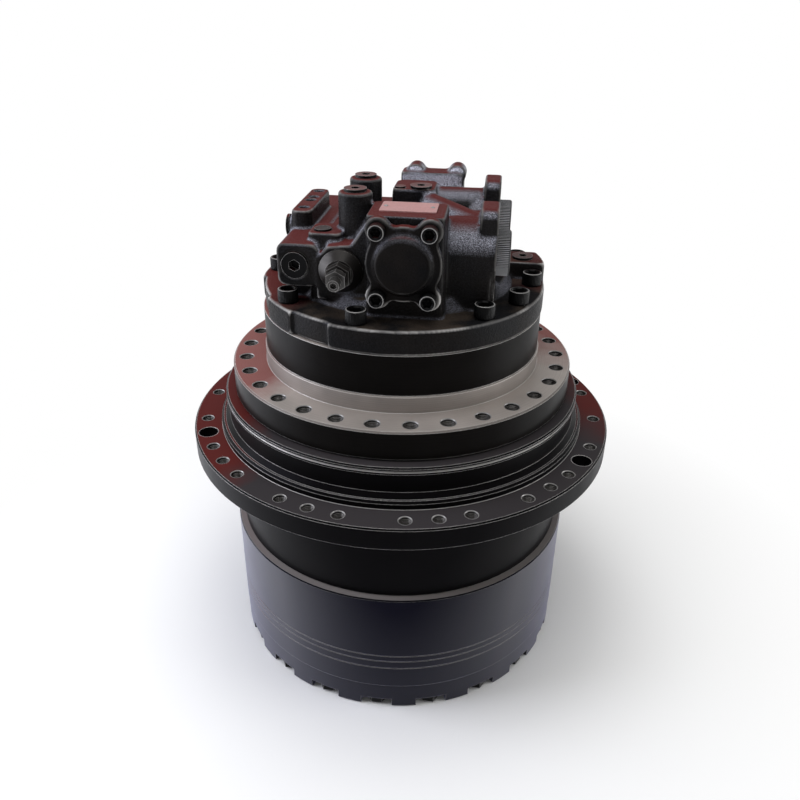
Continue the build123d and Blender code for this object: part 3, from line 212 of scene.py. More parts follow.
class StageSettings(bpy.types.PropertyGroup):
    """Camera, lamps and floor."""

    camera_place: bpy.props.FloatVectorProperty(
        name="Camera place", description="Where the camera stands", subtype="XYZ", unit="LENGTH",
        default=(0.1128, -0.9322, 0.8465))
    camera_turn: angle("Camera turn", "Turn of the view away from the Y axis", 6.9)
    camera_pitch: angle("Camera pitch", "How far the view looks down", 28.449)
    camera_roll: angle("Camera roll", "Roll of the view", 0.753)
    lens: bpy.props.FloatProperty(
        name="Lens", description="Focal length on a 36 mm sensor", default=34.544, min=10, max=200,
        unit="CAMERA")
    shift: bpy.props.FloatProperty(
        name="Shift", description="Sideways shift of the view", default=-0.00155, min=-0.1, max=0.1)
    floor_size: length("Floor size", "Edge of the pale floor", 30, 2, 60)
    key_power: power("Key lamp", "Power of the soft box on the left", 22)
    key_colour: bpy.props.FloatVectorProperty(
        name="Key colour", description="Cool cast of the soft box on the left", subtype="COLOR",
        size=3, default=(0.88, 0.90, 1.0), min=0, max=1)
    fill_power: power("Fill lamp", "Power of the soft box on the right", 9)
    top_power: power("Top lamp", "Power of the soft box overhead", 22)


def add(tree, kind, sockets=None, **settings):
    """Adds a shader node, with its settings, and its sockets set or linked."""
    made = tree.nodes.new("ShaderNode" + kind)
    for name, value in settings.items():
        setattr(made, name, value)
    for name, value in (sockets or {}).items():
        if isinstance(value, bpy.types.NodeSocket):
            tree.links.new(value, made.inputs[name])
        else:
            made.inputs[name].default_value = value
    return made


def calc(tree, operation, *values):
    """A calculated value."""
    return add(tree, "Math", dict(enumerate(values)), operation=operation).outputs[0]


def spread(tree, value, low, high, to_low=0.0, to_high=1.0):
    """A value mapped from one range to another and held there."""
    return add(tree, "MapRange", {"Value": value, "From Min": low, "From Max": high,
                                  "To Min": to_low, "To Max": to_high}).outputs["Result"]


def mixed(tree, share, first, second):
    """Two colours mixed by a share."""
    return add(tree, "Mix", {0: share, 6: first, 7: second}, data_type="RGBA").outputs[2]


def scaled(colour, factor):
    """A colour made lighter or darker by a factor."""
    return [min(1, factor * part) for part in colour[:3]] + [1]


def noise(tree, place, scale, detail, **sockets):
    """Noise over the surface."""
    sockets.update(Vector=place, Scale=scale, Detail=detail)
    return add(tree, "TexNoise", sockets).outputs[0]


def split(tree, vector):
    """A vector's three parts."""
    return add(tree, "SeparateXYZ", {0: vector}).outputs


def spot_on(tree):
    """The place on the surface, in the drive's frame."""
    return add(tree, "TexCoord").outputs["Object"]


def facing(tree):
    """The way that the surface looks."""
    return add(tree, "NewGeometry").outputs["Normal"]


def new_group(name, *outputs, **inputs):
    """A shader group with named outputs, and inputs with their defaults, which are all numbers."""
    tree = bpy.data.node_groups.new(name, "ShaderNodeTree")
    for label, default in inputs.items():
        made = tree.interface.new_socket(
            label.replace("_", " "), in_out="INPUT", socket_type="NodeSocketFloat")
        made.default_value = default
    for label in outputs:
        tree.interface.new_socket(label, in_out="OUTPUT", socket_type="NodeSocketFloat")
    return tree, tree.nodes.new("NodeGroupInput").outputs, tree.nodes.new("NodeGroupOutput")


def give(tree, end, **values):
    """Links results to a group's outputs or to a shader's inputs."""
    for label, value in values.items():
        tree.links.new(value, end.inputs[label.replace("_", " ")])


def grain_group():
    """Sand grain of a casting under paint: fine height, slow mottling and a speckle that breaks up
    the painted glints.
    """
    mottles, finer, pit_share = 22.0, 2.2, 0.35
    tree, start, end = new_group(
        "Casting grain", "Height", "Mottle", "Speckle", Cells_per_metre=600.0, Roughening=0.5)
    place, cells = spot_on(tree), start["Cells per metre"]
    fine = noise(tree, place, cells, 3.0, Roughness=start["Roughening"])
    pits = add(tree, "TexVoronoi", {"Vector": place, "Scale": cells},
               feature="SMOOTH_F1").outputs["Distance"]
    broad = noise(tree, place, mottles, 4.0)
    grit = noise(tree, place, calc(tree, "MULTIPLY", cells, finer), 1.0)
    give(tree, end, Height=calc(tree, "MULTIPLY_ADD", pits, pit_share, fine),
         Mottle=spread(tree, broad, 0.35, 0.7), Speckle=spread(tree, grit, 0.42, 0.72, 0.12, 1.0))
    return tree


def turning_group():
    """Lathe marks: fine rings by height and radius, broken up round the turn."""
    smears, ring_share, smear_share = 14.0, 0.35, 0.65
    tree, start, end = new_group("Turning marks", "Height", "Streak", Rings_per_metre=900.0)
    place = spot_on(tree)
    apart = split(tree, place)
    flat = add(tree, "CombineXYZ", {0: apart[0], 1: apart[1]}).outputs[0]
    radius = add(tree, "VectorMath", {0: flat}, operation="LENGTH").outputs["Value"]
    along = calc(tree, "ADD", radius, apart[2])
    rings = add(tree, "TexNoise", {"W": along, "Scale": start["Rings per metre"], "Detail": 2.0},
                noise_dimensions="1D").outputs[0]
    smear = calc(tree, "MULTIPLY", noise(tree, place, smears, 5.0), smear_share)
    give(tree, end, Height=rings, Streak=calc(tree, "MULTIPLY_ADD", rings, ring_share, smear))
    return tree


def edge_group():
    """Edges worn bare and painted with highlights, from how far the rounded normal leaves the true
    one, with gaps.
    """
    patches = 45.0
    tree, start, end = new_group("Worn and highlit edges", "Mask", Reach=0.0012, Gaps=0.4)
    rounded = add(tree, "Bevel", {"Radius": start["Reach"]}, samples=8).outputs[0]
    same = add(tree, "VectorMath", {0: facing(tree), 1: rounded}, operation="DOT_PRODUCT")
    turned = spread(tree, same.outputs["Value"], 0.985, 0.86)
    kept = spread(tree, noise(tree, spot_on(tree), patches, 4.0), 0.36, 0.58)
    full = calc(tree, "SUBTRACT", 1.0, start["Gaps"])
    share = calc(tree, "MULTIPLY_ADD", kept, start["Gaps"], full)
    give(tree, end, Mask=calc(tree, "MULTIPLY", turned, share))
    return tree


def top_group():
    """Faces that look up, faces that slope, the left and back where the red reflection is painted,
    and the height.
    """
    right_share, back_share, blotches, raggedness = 0.25, 0.6, 30.0, 0.06
    tree, start, end = new_group("Top faces", "Top", "Slope", "Thin", "Rise", Lean=0.8)
    up = split(tree, facing(tree))[2]
    top = spread(tree, up, start["Lean"], 0.97)
    steep = calc(tree, "SUBTRACT", 1.0, top)
    slope = calc(tree, "MULTIPLY", spread(tree, up, 0.12, 0.5), steep)
    place = spot_on(tree)
    apart = split(tree, place)
    # Where the red reflection is painted: most at the left, then at the back, least at the right,
    # in ragged blotches; the Thin output carries this mask
    left = calc(tree, "MULTIPLY", apart[0], -1.0)
    right = calc(tree, "MULTIPLY", apart[0], right_share)
    wide = calc(tree, "MAXIMUM", left, right)
    side = calc(tree, "MULTIPLY_ADD", apart[1], back_share, wide)
    blotch = calc(tree, "SUBTRACT", noise(tree, place, blotches, 5.0), 0.5)
    ragged = calc(tree, "MULTIPLY_ADD", blotch, raggedness, side)
    give(tree, end, Top=top, Slope=slope, Thin=spread(tree, ragged, 0.022, 0.088), Rise=apart[2])
    return tree


GROUP_MAKERS = {"Casting grain": grain_group, "Turning marks": turning_group,
                "Worn and highlit edges": edge_group, "Top faces": top_group}


def placed(tree, name, **values):
    """A shared effect placed in a material, with its own values."""
    effect = bpy.data.node_groups.get(name) or GROUP_MAKERS[name]()
    made = add(tree, "Group", node_tree=effect)
    for label, value in values.items():
        made.inputs[label.replace("_", " ")].default_value = value
    return made.outputs


def new_material(name, **sockets):
    """A material with its Principled shader, whose plain values are set straight on its sockets."""
    made = bpy.data.materials.new(name)
    made.use_nodes = True
    shader = made.node_tree.nodes["Principled BSDF"]
    for label, value in sockets.items():
        shader.inputs[label.replace("_", " ")].default_value = value
    return made, made.node_tree, shader


def bumped(tree, shader, height, depth, soft=0.0):
    """Lets a height lift the surface by a depth in metres, over edges softened by a radius."""
    bump = add(tree, "Bump", {"Height": height, "Distance": depth})
    if soft:
        give(tree, bump, Normal=add(tree, "Bevel", {"Radius": soft}, samples=4).outputs[0])
    give(tree, shader, Normal=bump.outputs[0])


def product(tree, *values):
    """Several values multiplied."""
    result = values[0]
    for value in values[1:]:
        result = calc(tree, "MULTIPLY", result, value)
    return result


def glancing_coat(tree, shader, low, high, most, share):
    """A clear coat, on a share of the surface, that grows as it turns away from the eye."""
    aside = add(tree, "LayerWeight", {"Blend": 0.5}).outputs["Facing"]
    give(tree, shader, Coat_Weight=product(tree, spread(tree, aside, low, high, 0.0, most), share))


def enamel(name, colours, base, cast, ledge, coat, sheen, wear_and_highlight):
    """Satin black enamel on turned steel, with edges worn bright and painted with highlights,
    lighter grey top faces, and a painted red reflection on top faces at the left and back.
    """
    top_greying, bareness, shine, ring_share, top_coat = 0.9, 0.75, 0.4, 0.6, 0.25
    made, tree, shader = new_material(
        name, Specular_IOR_Level=0.03, Specular_Tint=cast, Coat_IOR=1.7, Coat_Roughness=0.3,
        Sheen_Weight=sheen, Sheen_Roughness=0.38, Sheen_Tint=cast)
    marks = placed(tree, "Turning marks", Rings_per_metre=700.0)
    edges = placed(tree, "Worn and highlit edges", Reach=EDGE_REACH * wear_and_highlight, Gaps=0.1)["Mask"]
    faces = placed(tree, "Top faces", Lean=0.8)
    grain = placed(tree, "Casting grain", Cells_per_metre=420.0)
    streaks = spread(tree, marks["Streak"], *STREAKS, 0.0, 0.6)
    streaked = mixed(tree, streaks, base, scaled(base, 1.8))
    # Top faces lighter grey
    greyed = mixed(tree, product(tree, faces["Top"], top_greying), streaked, colours.flange_grey)
    # Painted red reflection on the top faces at the left and back
    red_reflection = product(tree, faces["Top"], faces["Thin"])
    reddened = mixed(tree, red_reflection, greyed, colours.painted_red_reflection)
    foot = ledge - LEDGE_SPAN
    under = spread(tree, faces["Rise"], ledge, ledge + LEDGE_FADE, 1.0, 0.0)
    over = spread(tree, faces["Rise"], foot, foot + LEDGE_FADE)
    bare = product(tree, faces["Top"], under, over, bareness)
    bared = mixed(tree, bare, reddened, colours.machined_grey)
    # Edges worn bare and painted with highlights
    worn_and_highlit = product(tree, edges, wear_and_highlight)
    give(tree, shader, Base_Color=mixed(tree, worn_and_highlit, bared, colours.worn_and_highlit_steel),
         Metallic=product(tree, worn_and_highlit, shine),
         Roughness=spread(tree, grain["Mottle"], 0, 1, 0.3, 0.42))
    glancing_coat(tree, shader, low=0.28, high=0.54, most=coat,
                  share=spread(tree, faces["Top"], 0, 1, 1.0, top_coat))
    height = calc(tree, "MULTIPLY_ADD", marks["Height"], ring_share, grain["Height"])
    bumped(tree, shader, height, SKIN, EDGE_ROUND)
    return made


def oiled_steel(name, colours):
    """Dark oiled steel walls with bare turned flange faces, edges worn bare and painted with
    highlights, and a painted red reflection on top faces at the left and back.
    """
    step_share, red_share, wear_and_highlight, shine, ring_share = 0.55, 0.85, 0.9, 0.6, 0.7
    made, tree, shader = new_material(name, Specular_IOR_Level=0.03, Coat_Roughness=0.3)
    base, grey = colours.spindle_black, colours.machined_grey
    marks = placed(tree, "Turning marks", Rings_per_metre=800.0)
    faces = placed(tree, "Top faces", Lean=0.6)
    edges = placed(tree, "Worn and highlit edges", Reach=EDGE_REACH, Gaps=0.1)["Mask"]
    grain = placed(tree, "Casting grain", Cells_per_metre=500.0)
    over = spread(tree, faces["Rise"], *PILOT_FOOT)
    under = spread(tree, faces["Rise"], *PILOT_HEAD, 1.0, 0.0)
    bare = calc(tree, "MAXIMUM", faces["Top"], product(tree, over, under, step_share))
    smeared = mixed(tree, spread(tree, marks["Streak"], *STREAKS), base, scaled(base, 2.2))
    pale = mixed(tree, spread(tree, marks["Streak"], *WIDE_STREAKS), grey, scaled(grey, 1.45))
    turned = mixed(tree, bare, smeared, pale)
    # Painted red reflection on the top faces at the left and back
    red_reflection = product(tree, faces["Top"], faces["Thin"])
    redder = scaled(colours.painted_red_reflection, 2.1)
    reddened = mixed(tree, product(tree, red_reflection, red_share), turned, redder)
    # Edges worn bare and painted with highlights
    give(tree, shader,
         Base_Color=mixed(tree, product(tree, edges, wear_and_highlight), reddened, colours.worn_and_highlit_steel),
         Metallic=product(tree, bare, calc(tree, "SUBTRACT", 1.0, red_reflection), shine),
         Roughness=spread(tree, grain["Mottle"], 0, 1, 0.3, 0.44))
    glancing_coat(tree, shader, low=0.3, high=0.75, most=0.25,
                  share=calc(tree, "SUBTRACT", 1.0, bare))
    height = calc(tree, "MULTIPLY_ADD", marks["Height"], ring_share, grain["Height"])
    bumped(tree, shader, height, SKIN, EDGE_ROUND)
    return made


def back_wall(tree):
    """Where painted glints fall on the front wall of the tall block at the back of the cover."""
    strength = 3.0
    place, ahead = split(tree, spot_on(tree)), split(tree, facing(tree))[1]
    return product(tree, spread(tree, place[1], *BACK_WALL_DEPTH),
                   spread(tree, place[2], *BACK_WALL_LEVEL), spread(tree, ahead, -0.6, -0.9),
                   strength)


def casting(name, colours, cells, depth, specular, glint):
    """Gloss black paint over a sand casting, brown with wax low down, with a painted red reflection
    on its top faces, painted glints on its slopes and painted highlights on its worn edges.
    """
    grime, wax, red_share, least_glint, dulling = 0.15, 0.8, 0.95, 0.04, 0.3
    made, tree, shader = new_material(name, Specular_IOR_Level=specular)
    base = colours.casting_black
    grain = placed(tree, "Casting grain", Cells_per_metre=cells, Roughening=0.55)
    faces = placed(tree, "Top faces", Lean=0.72)
    bent = add(tree, "NewGeometry").outputs["Pointiness"]
    high = spread(tree, faces["Rise"], *DECK_FACE)
    grimy = mixed(tree, product(tree, grain["Mottle"], grime), base, colours.casting_brown)
    waxed = product(tree, faces["Top"], spread(tree, grain["Mottle"], 0.25, 0.8),
                    calc(tree, "SUBTRACT", 1.0, high), wax)
    runny = mixed(tree, waxed, grimy, colours.casting_brown)
    # Painted red reflection on the top faces, all over above the deck and at the left and back
    # below it
    red = product(tree, faces["Top"], calc(tree, "MAXIMUM", high, faces["Thin"]), red_share)
    reddened = mixed(tree, red, runny, colours.painted_red_reflection)
    # Painted glints: silver speckle on faces that slope up and on the back block's front wall, less
    # on corners, hollows and low down
    wall = calc(tree, "MAXIMUM", back_wall(tree), least_glint)
    lit = calc(tree, "MAXIMUM", faces["Slope"], wall)
    broad = product(tree, spread(tree, bent, *ROUND_BEND, 1.0, 0.1),
                    spread(tree, bent, *HOLLOW_BEND, 0.2, 1.0))
    glints = product(tree, grain["Speckle"], lit, broad,
                     spread(tree, faces["Rise"], *DECK_GLINT, 0.4, 1.0), glint)
    sparkling = mixed(tree, glints, reddened, colours.painted_glint_silver)
    # Edges worn bare and painted with highlights, more below the deck rim
    worn_and_highlit = product(tree, spread(tree, bent, *SHARP_BEND),
                     spread(tree, faces["Rise"], *DECK_RIM, 1.0, 0.3),
                     spread(tree, grain["Mottle"], 0.2, 0.7, 0.35, 1.0))
    gloss = spread(tree, grain["Height"], 0.3, 0.9, 0.18, 0.4)
    give(tree, shader, Base_Color=mixed(tree, worn_and_highlit, sparkling, colours.worn_and_highlit_steel),
         Roughness=calc(tree, "MULTIPLY_ADD", faces["Top"], dulling, gloss))
    bumped(tree, shader, grain["Height"], depth)
    return made


def turned_metal(name, colours, base, rings, roughness, metallic, wear_and_highlight):
    """Bare turned or ground metal with rings, oil smears and bright edges, worn and painted with
    highlights.
    """
    duller, smoother = 0.08, 0.06
    made, tree, shader = new_material(name, Metallic=metallic)
    marks = placed(tree, "Turning marks", Rings_per_metre=rings)
    edges = placed(tree, "Worn and highlit edges", Reach=0.0009, Gaps=0.3)["Mask"]
    streaks, dark, light = marks["Streak"], scaled(base, 0.75), scaled(base, 1.25)
    ringed = mixed(tree, spread(tree, streaks, *WIDE_STREAKS), dark, light)
    # Edges worn bare and painted with highlights
    give(tree, shader,
         Base_Color=mixed(tree, product(tree, edges, wear_and_highlight), ringed, colours.worn_and_highlit_steel),
         Roughness=spread(tree, streaks, *WIDE_STREAKS, roughness + duller, roughness - smoother))
    bumped(tree, shader, marks["Height"], SKIN)
    return made


def black_oxide(name, colours, wear_and_highlight, red):
    """Blackened steel with worn rims painted with highlights, and a painted red reflection on top
    faces up high and at the left and back.
    """
    shine, top_coat, softness = 0.6, 0.3, 0.0008
    made, tree, shader = new_material(name, Specular_IOR_Level=0.06, Coat_Roughness=0.25)
    base = colours.screw_black
    grain = placed(tree, "Casting grain", Cells_per_metre=900.0)
    edges = placed(tree, "Worn and highlit edges", Reach=0.0007, Gaps=0.35)["Mask"]
    faces = placed(tree, "Top faces", Lean=0.8)
    oily = mixed(tree, grain["Mottle"], base, scaled(base, 2.5))
    # Painted red reflection on top faces up high and at the left and back
    high = spread(tree, faces["Rise"], *TOWER_TOPS)
    red_reflection = product(tree, faces["Top"], calc(tree, "MAXIMUM", high, faces["Thin"]), red)
    # Edges worn bare and painted with highlights
    worn_and_highlit = product(tree, edges, wear_and_highlight)
    reddened = mixed(tree, red_reflection, oily, colours.painted_red_reflection)
    give(tree, shader, Base_Color=mixed(tree, worn_and_highlit, reddened, colours.worn_and_highlit_steel),
         Metallic=product(tree, worn_and_highlit, shine),
         Roughness=spread(tree, grain["Mottle"], 0, 1, 0.26, 0.4))
    glancing_coat(tree, shader, low=0.3, high=0.65, most=0.5,
                  share=spread(tree, faces["Top"], 0, 1, 1.0, top_coat))
    bumped(tree, shader, grain["Height"], FINE_SKIN, softness)
    return made


def speckled_plate(name, colours):
    """Tinned plate, dulled in fine specks, with a red cast."""
    wear_and_highlight = 0.6
    made, tree, shader = new_material(name, Metallic=0.35, Specular_IOR_Level=0.4)
    base = colours.plate_pink
    grain = placed(tree, "Casting grain", Cells_per_metre=700.0, Roughening=0.7)
    edges = placed(tree, "Worn and highlit edges", Reach=0.0008, Gaps=0.3)["Mask"]
    dull = mixed(tree, spread(tree, grain["Height"], 0.45, 0.8), scaled(base, 0.72), base)
    # Edges worn bare and painted with highlights
    give(tree, shader, Base_Color=mixed(tree, product(tree, edges, wear_and_highlight), dull, colours.plate_edge),
         Roughness=spread(tree, grain["Mottle"], 0, 1, 0.32, 0.46))
    bumped(tree, shader, grain["Height"], FINE_SKIN)
    return made


def moulded(name, base, cells, depth, roughness):
    """Rubber or moulded plastic with a fine skin."""
    varied = 0.07
    made, tree, shader = new_material(name, Specular_IOR_Level=0.25)
    grain = placed(tree, "Casting grain", Cells_per_metre=cells)
    give(tree, shader, Base_Color=mixed(tree, grain["Mottle"], base, scaled(base, 1.8)),
         Roughness=spread(tree, grain["Mottle"], 0, 1, roughness - varied, roughness + varied))
    bumped(tree, shader, grain["Height"], depth)
    return made


# Finishes, some with worn edges painted with highlights and some with a painted red reflection: the
# maker, then the values that the comment above names
FINISHES = {
    # Colour, cast of the shine, level of the bare ledge, coat, sheen, and how far edges are worn
    # and painted with highlights
    "drum_paint": (enamel, "drum_black", "drum_sheen", 0.2, 0.9, 0.3, 0.55),
    "hub_paint": (enamel, "hub_black", "hub_sheen", 0.0, 0.1, 0.03, 0.95),
    "cover_paint": (enamel, "drum_black", "drum_sheen", -1.0, 0.9, 0.3, 0.55),
    # Colour, rings per metre, roughness, metallic share, and how far edges are worn and painted
    # with highlights
    "worn_rim_highlight": (turned_metal, "worn_rim_highlight_steel", 900.0, 0.34, 0.35, 0.0),
    "valve_body": (turned_metal, "valve_brown", 700.0, 0.36, 0.5, 0.4),
    "valve_nut": (turned_metal, "valve_grey", 700.0, 0.3, 0.6, 0.6),
    "hole_thread": (turned_metal, "hole_grey", 900.0, 0.4, 0.6, 0.3),
    "gear_steel": (turned_metal, "gear_steel", 1200.0, 0.26, 1.0, 0.3),
    "bearing_steel": (turned_metal, "gear_steel", 1500.0, 0.18, 1.0, 0.0),
    "carrier_iron": (turned_metal, "carrier_iron", 500.0, 0.48, 0.7, 0.3),
    "bronze": (turned_metal, "bearing_bronze", 1000.0, 0.3, 1.0, 0.0),
    "spring_steel": (turned_metal, "carrier_iron", 900.0, 0.32, 0.9, 0.0),
    # Cells per metre, depth, specular level and strength of the painted glints
    "casting_paint": (casting, 460.0, 0.0006, 0.05, 0.75),
    "regulator_paint": (casting, 520.0, 0.00012, 0.03, 0.3),
    # How far edges are worn and painted with highlights, and strength of the painted red reflection
    "bolt_steel": (black_oxide, 0.6, 0.9),
    "screw_head": (black_oxide, 0.0, 0.3),
    # No values
    "spindle_steel": (oiled_steel,),
    "plate_metal": (speckled_plate,),
}
# Moulded skins: colour, cells per metre, depth and roughness
MOULDED = {
    "seal_rubber": ("seal_black", 900.0, 0.00004, 0.55),
    "cap_plastic": ("cap_black", 700.0, 0.00005, 0.4),
    "cap_ridge_highlight": ("cap_ridge_highlight", 700.0, 0.00005, 0.35),
}


def finish_for(slot):
    """The material of a slot or of a piece's second surface, made once."""
    name = "finish_" + slot
    known = bpy.data.materials.get(name)
    if known:
        return known
    colours = bpy.context.scene.drive_colours
    if slot in MOULDED:
        colour, *form = MOULDED[slot]
        return moulded(name, getattr(colours, colour), *form)
    maker, *form = FINISHES[slot]
    values = [getattr(colours, part) if isinstance(part, str) else part for part in form]
    return maker(name, colours, *values)


def new_object(name, data):
    """An object in the scene."""
    made = bpy.data.objects.new(name, data)
    bpy.context.scene.collection.objects.link(made)
    return made


def new_piece(name, mesh, slot, node, *surfaces):
    """A piece on a node's body, in its slot's finish or in the surfaces that are named instead."""
    piece = new_object(name, mesh)
    if mesh.materials:
        mesh.materials.clear()
    for surface in surfaces or (slot,):
        mesh.materials.append(finish_for(surface))
    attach(piece, frame["nodes"][node]["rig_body"])
    return piece


def boxes_of(node):
    """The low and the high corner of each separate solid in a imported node."""
    merging = 1e-6
    shape = bmesh.new()
    shape.from_mesh(frame["nodes"][node].data)
    bmesh.ops.remove_doubles(shape, verts=shape.verts, dist=merging)
    boxes, known = [], set()
    for start in shape.verts:
        if start in known:
            continue
        known.add(start)
        edge, points = [start], []
        while edge:
            spot = edge.pop()
            points.append(spot.co[:])
            near = {link.other_vert(spot) for link in spot.link_edges} - known
            known |= near
            edge += near
        boxes.append((Vector(np.min(points, axis=0)), Vector(np.max(points, axis=0))))
    shape.free()
    return boxes


def around(turn, radius, height=0.0):
    """A point at a turn round the upright axis."""
    return Vector((radius * math.cos(turn), radius * math.sin(turn), height))


def revolve(shape, rings, place):
    """Joins rings, each a radius and a height per step, closes both ends and gives the bands."""
    made, bands = [], []
    for ring in rings:
        spots = [around(TURN * step / len(ring), *form) for step, form in enumerate(ring)]
        made.append([shape.verts.new(place @ spot) for spot in spots])
    for low, high in zip(made, made[1:]):
        after = low[1:] + low[:1], high[1:] + high[:1]
        bands.append([shape.faces.new(corners) for corners in zip(low, *after, high)])
    shape.faces.new(list(reversed(made[0])))
    shape.faces.new(made[-1])
    return bands


def round_rings(steps, *forms):
    """Plain round rings, each a radius and a height."""
    return [[form] * steps for form in forms]


def hexagon_rings(steps, across, *heights):
    """Rings that follow a hexagon with the given width across flats."""
    aside = [math.radians((360 * step / steps) % 60 - 30) for step in range(steps)]
    return [[(across / 2 / math.cos(turn), height) for turn in aside] for height in heights]


def ridged_rings(steps, radius, depth, *heights):
    """Rings whose every other pair of points is sunk, for a straight knurl."""
    ridges = [radius - (depth if step % 4 in (2, 3) else 0) for step in range(steps)]
    return [[(ridge, height) for ridge in ridges] for height in heights]


def socket_screw(shape, place, head, tall, shank, grip, across, sizes):
    """A socket head screw, its head standing on the place's origin and its shank below."""
    tip, lead, lip, chamfer, drill = 0.001, 0.0015, 0.0008, 0.0014, 0.0025
    steps, rim_band = 4 * sizes.knurl_count, 6
    edge, bottom = 0.09 * head, tall - 0.6 * tall
    bevel = 1.6 * edge
    mouth, seat, point = 0.63 * across, 0.58 * across, 0.12 * across
    bands = revolve(shape, [
        *round_rings(steps, (shank - tip, -grip), (shank, lead - grip), (shank, 0),
                     (head - edge, 0)),
        *ridged_rings(steps, head, sizes.knurl_depth, edge, tall - bevel),
        *round_rings(steps, (head - edge / 2, tall - edge / 2), (head - bevel, tall),
                     (mouth, tall), (seat, tall - lip)),
        *hexagon_rings(steps, across, tall - chamfer, bottom),
        *round_rings(steps, (point, bottom - drill)),
    ], place)
    # The outer top chamfer takes the second surface, a painted highlight on the worn rim
    for face in bands[rim_band]:
        face.material_index = 1


def thread_turns(shape, centre, radius, sizes):
    """A helical thread down the wall of a flange hole, with a bright rim round its mouth."""
    steps, rim_steps, start, bite = 20, 32, 0.0012, 0.0002
    rim_lift, rim_inset, rim_fall = 0.00006, 0.0005, 0.0011
    rise = sizes.thread_pitch
    crest, root = [], []
    for step in range(steps * sizes.thread_turns + 1):
        turn, level = TURN * step / steps, -start - rise * step / steps
        crest.append(shape.verts.new(centre + around(turn, radius - sizes.thread_depth, level)))
        root.append(shape.verts.new(centre + around(turn, radius + bite, level - rise / 2)))
    for step in range(len(crest) - 1):
        shape.faces.new((crest[step], crest[step + 1], root[step + 1], root[step]))
        below = step + steps
        if below + 1 < len(crest):
            shape.faces.new((root[step], root[step + 1], crest[below + 1], crest[below]))
    rings = []
    for form in ((radius + sizes.rim_width, rim_lift), (radius + bite, rim_lift),
                 (radius - rim_inset, -rim_fall)):
        spots = [around(TURN * step / rim_steps, *form) for step in range(rim_steps)]
        rings.append([shape.verts.new(centre + spot) for spot in spots])
    # The rim faces take the second surface, a painted highlight round the hole's worn mouth
    for outer, inner in zip(rings, rings[1:]):
        for corners in zip(outer, outer[1:] + outer[:1], inner[1:] + inner[:1], inner):
            shape.faces.new(corners).material_index = 1


def finish_mesh(shape, name, sharp=32.0):
    """Turns a built shape into a mesh with smooth faces and sharp corners."""
    bmesh.ops.recalc_face_normals(shape, faces=shape.faces)
    mesh = bpy.data.meshes.new(name)
    shape.to_mesh(mesh)
    shape.free()
    mesh.shade_smooth()
    mesh.set_sharp_from_angle(angle=math.radians(sharp))
    return mesh


def softened(node, name, cell, passes, most_faces):
    """A node's solid rebuilt in small cells and smoothed, as a casting's corners are."""
    pull = 0.6
    holder = new_object(name + "_rough", frame["nodes"][node].data.copy())
    cells = holder.modifiers.new("cells", "REMESH")
    cells.mode = "VOXEL"
    cells.voxel_size = cell
    seen = bpy.context.evaluated_depsgraph_get()
    mesh = bpy.data.meshes.new_from_object(holder.evaluated_get(seen))
    places = np.empty(3 * len(mesh.vertices))
    mesh.vertices.foreach_get("co", places)
    places = places.reshape(-1, 3)
    links = np.empty(2 * len(mesh.edges), dtype=np.int64)
    mesh.edges.foreach_get("vertices", links)
    first, second = links.reshape(-1, 2).T
    count = np.bincount(first, minlength=len(places)) + np.bincount(second, minlength=len(places))
    for _ in range(passes):
        total = np.zeros_like(places)
        for axis in range(3):
            total[:, axis] = (np.bincount(first, places[second, axis], len(places))
                              + np.bincount(second, places[first, axis], len(places)))
        places += pull * (total / count[:, None] - places)
    mesh.vertices.foreach_set("co", places.ravel())
    mesh.update()
    holder.modifiers.clear()
    holder.data = mesh
    faces = 2 * len(mesh.polygons)
    if faces > most_faces:
        thinner = holder.modifiers.new("thinner", "DECIMATE")
        thinner.ratio = most_faces / faces
    seen = bpy.context.evaluated_depsgraph_get()
    result = bpy.data.meshes.new_from_object(holder.evaluated_get(seen))
    bpy.data.objects.remove(holder)
    result.shade_smooth()
    result.name = name
    return result


OWN_SURFACES = {"sprocket_hub": "hub_paint", "relief_valve": "valve_body",
                "relief_locknut": "valve_nut", "relief_screw": "valve_nut"}


class DRIVE_OT_finishes(bpy.types.Operator):
    """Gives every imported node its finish"""

    bl_idname = "drive.finishes"
    bl_label = "Finish the packed parts"

    def execute(self, context):
        for row in frame["record"]["subparts"]:
            surfaces = frame["nodes"][row["node"]].data.materials
            surfaces.clear()
            surfaces.append(finish_for(OWN_SURFACES.get(row["node"], row["material_slot"])))
        return {"FINISHED"}


class DRIVE_OT_castings(bpy.types.Operator):
    """Rounds the motor cover and the regulator cover as castings"""

    bl_idname = "drive.castings"
    bl_label = "Round the castings"

    def execute(self, context):
        sizes = context.scene.drive_casting
        for node, surface in (("motor_cover", "casting_paint"),
                              ("regulator_cover", "regulator_paint")):
            mesh = softened(node, node + "_casting", sizes.grain, sizes.rounds, sizes.most_faces)
            piece = new_piece(node + "_casting", mesh, "casting_paint", node, surface)
            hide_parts(node)
        return {"FINISHED"}


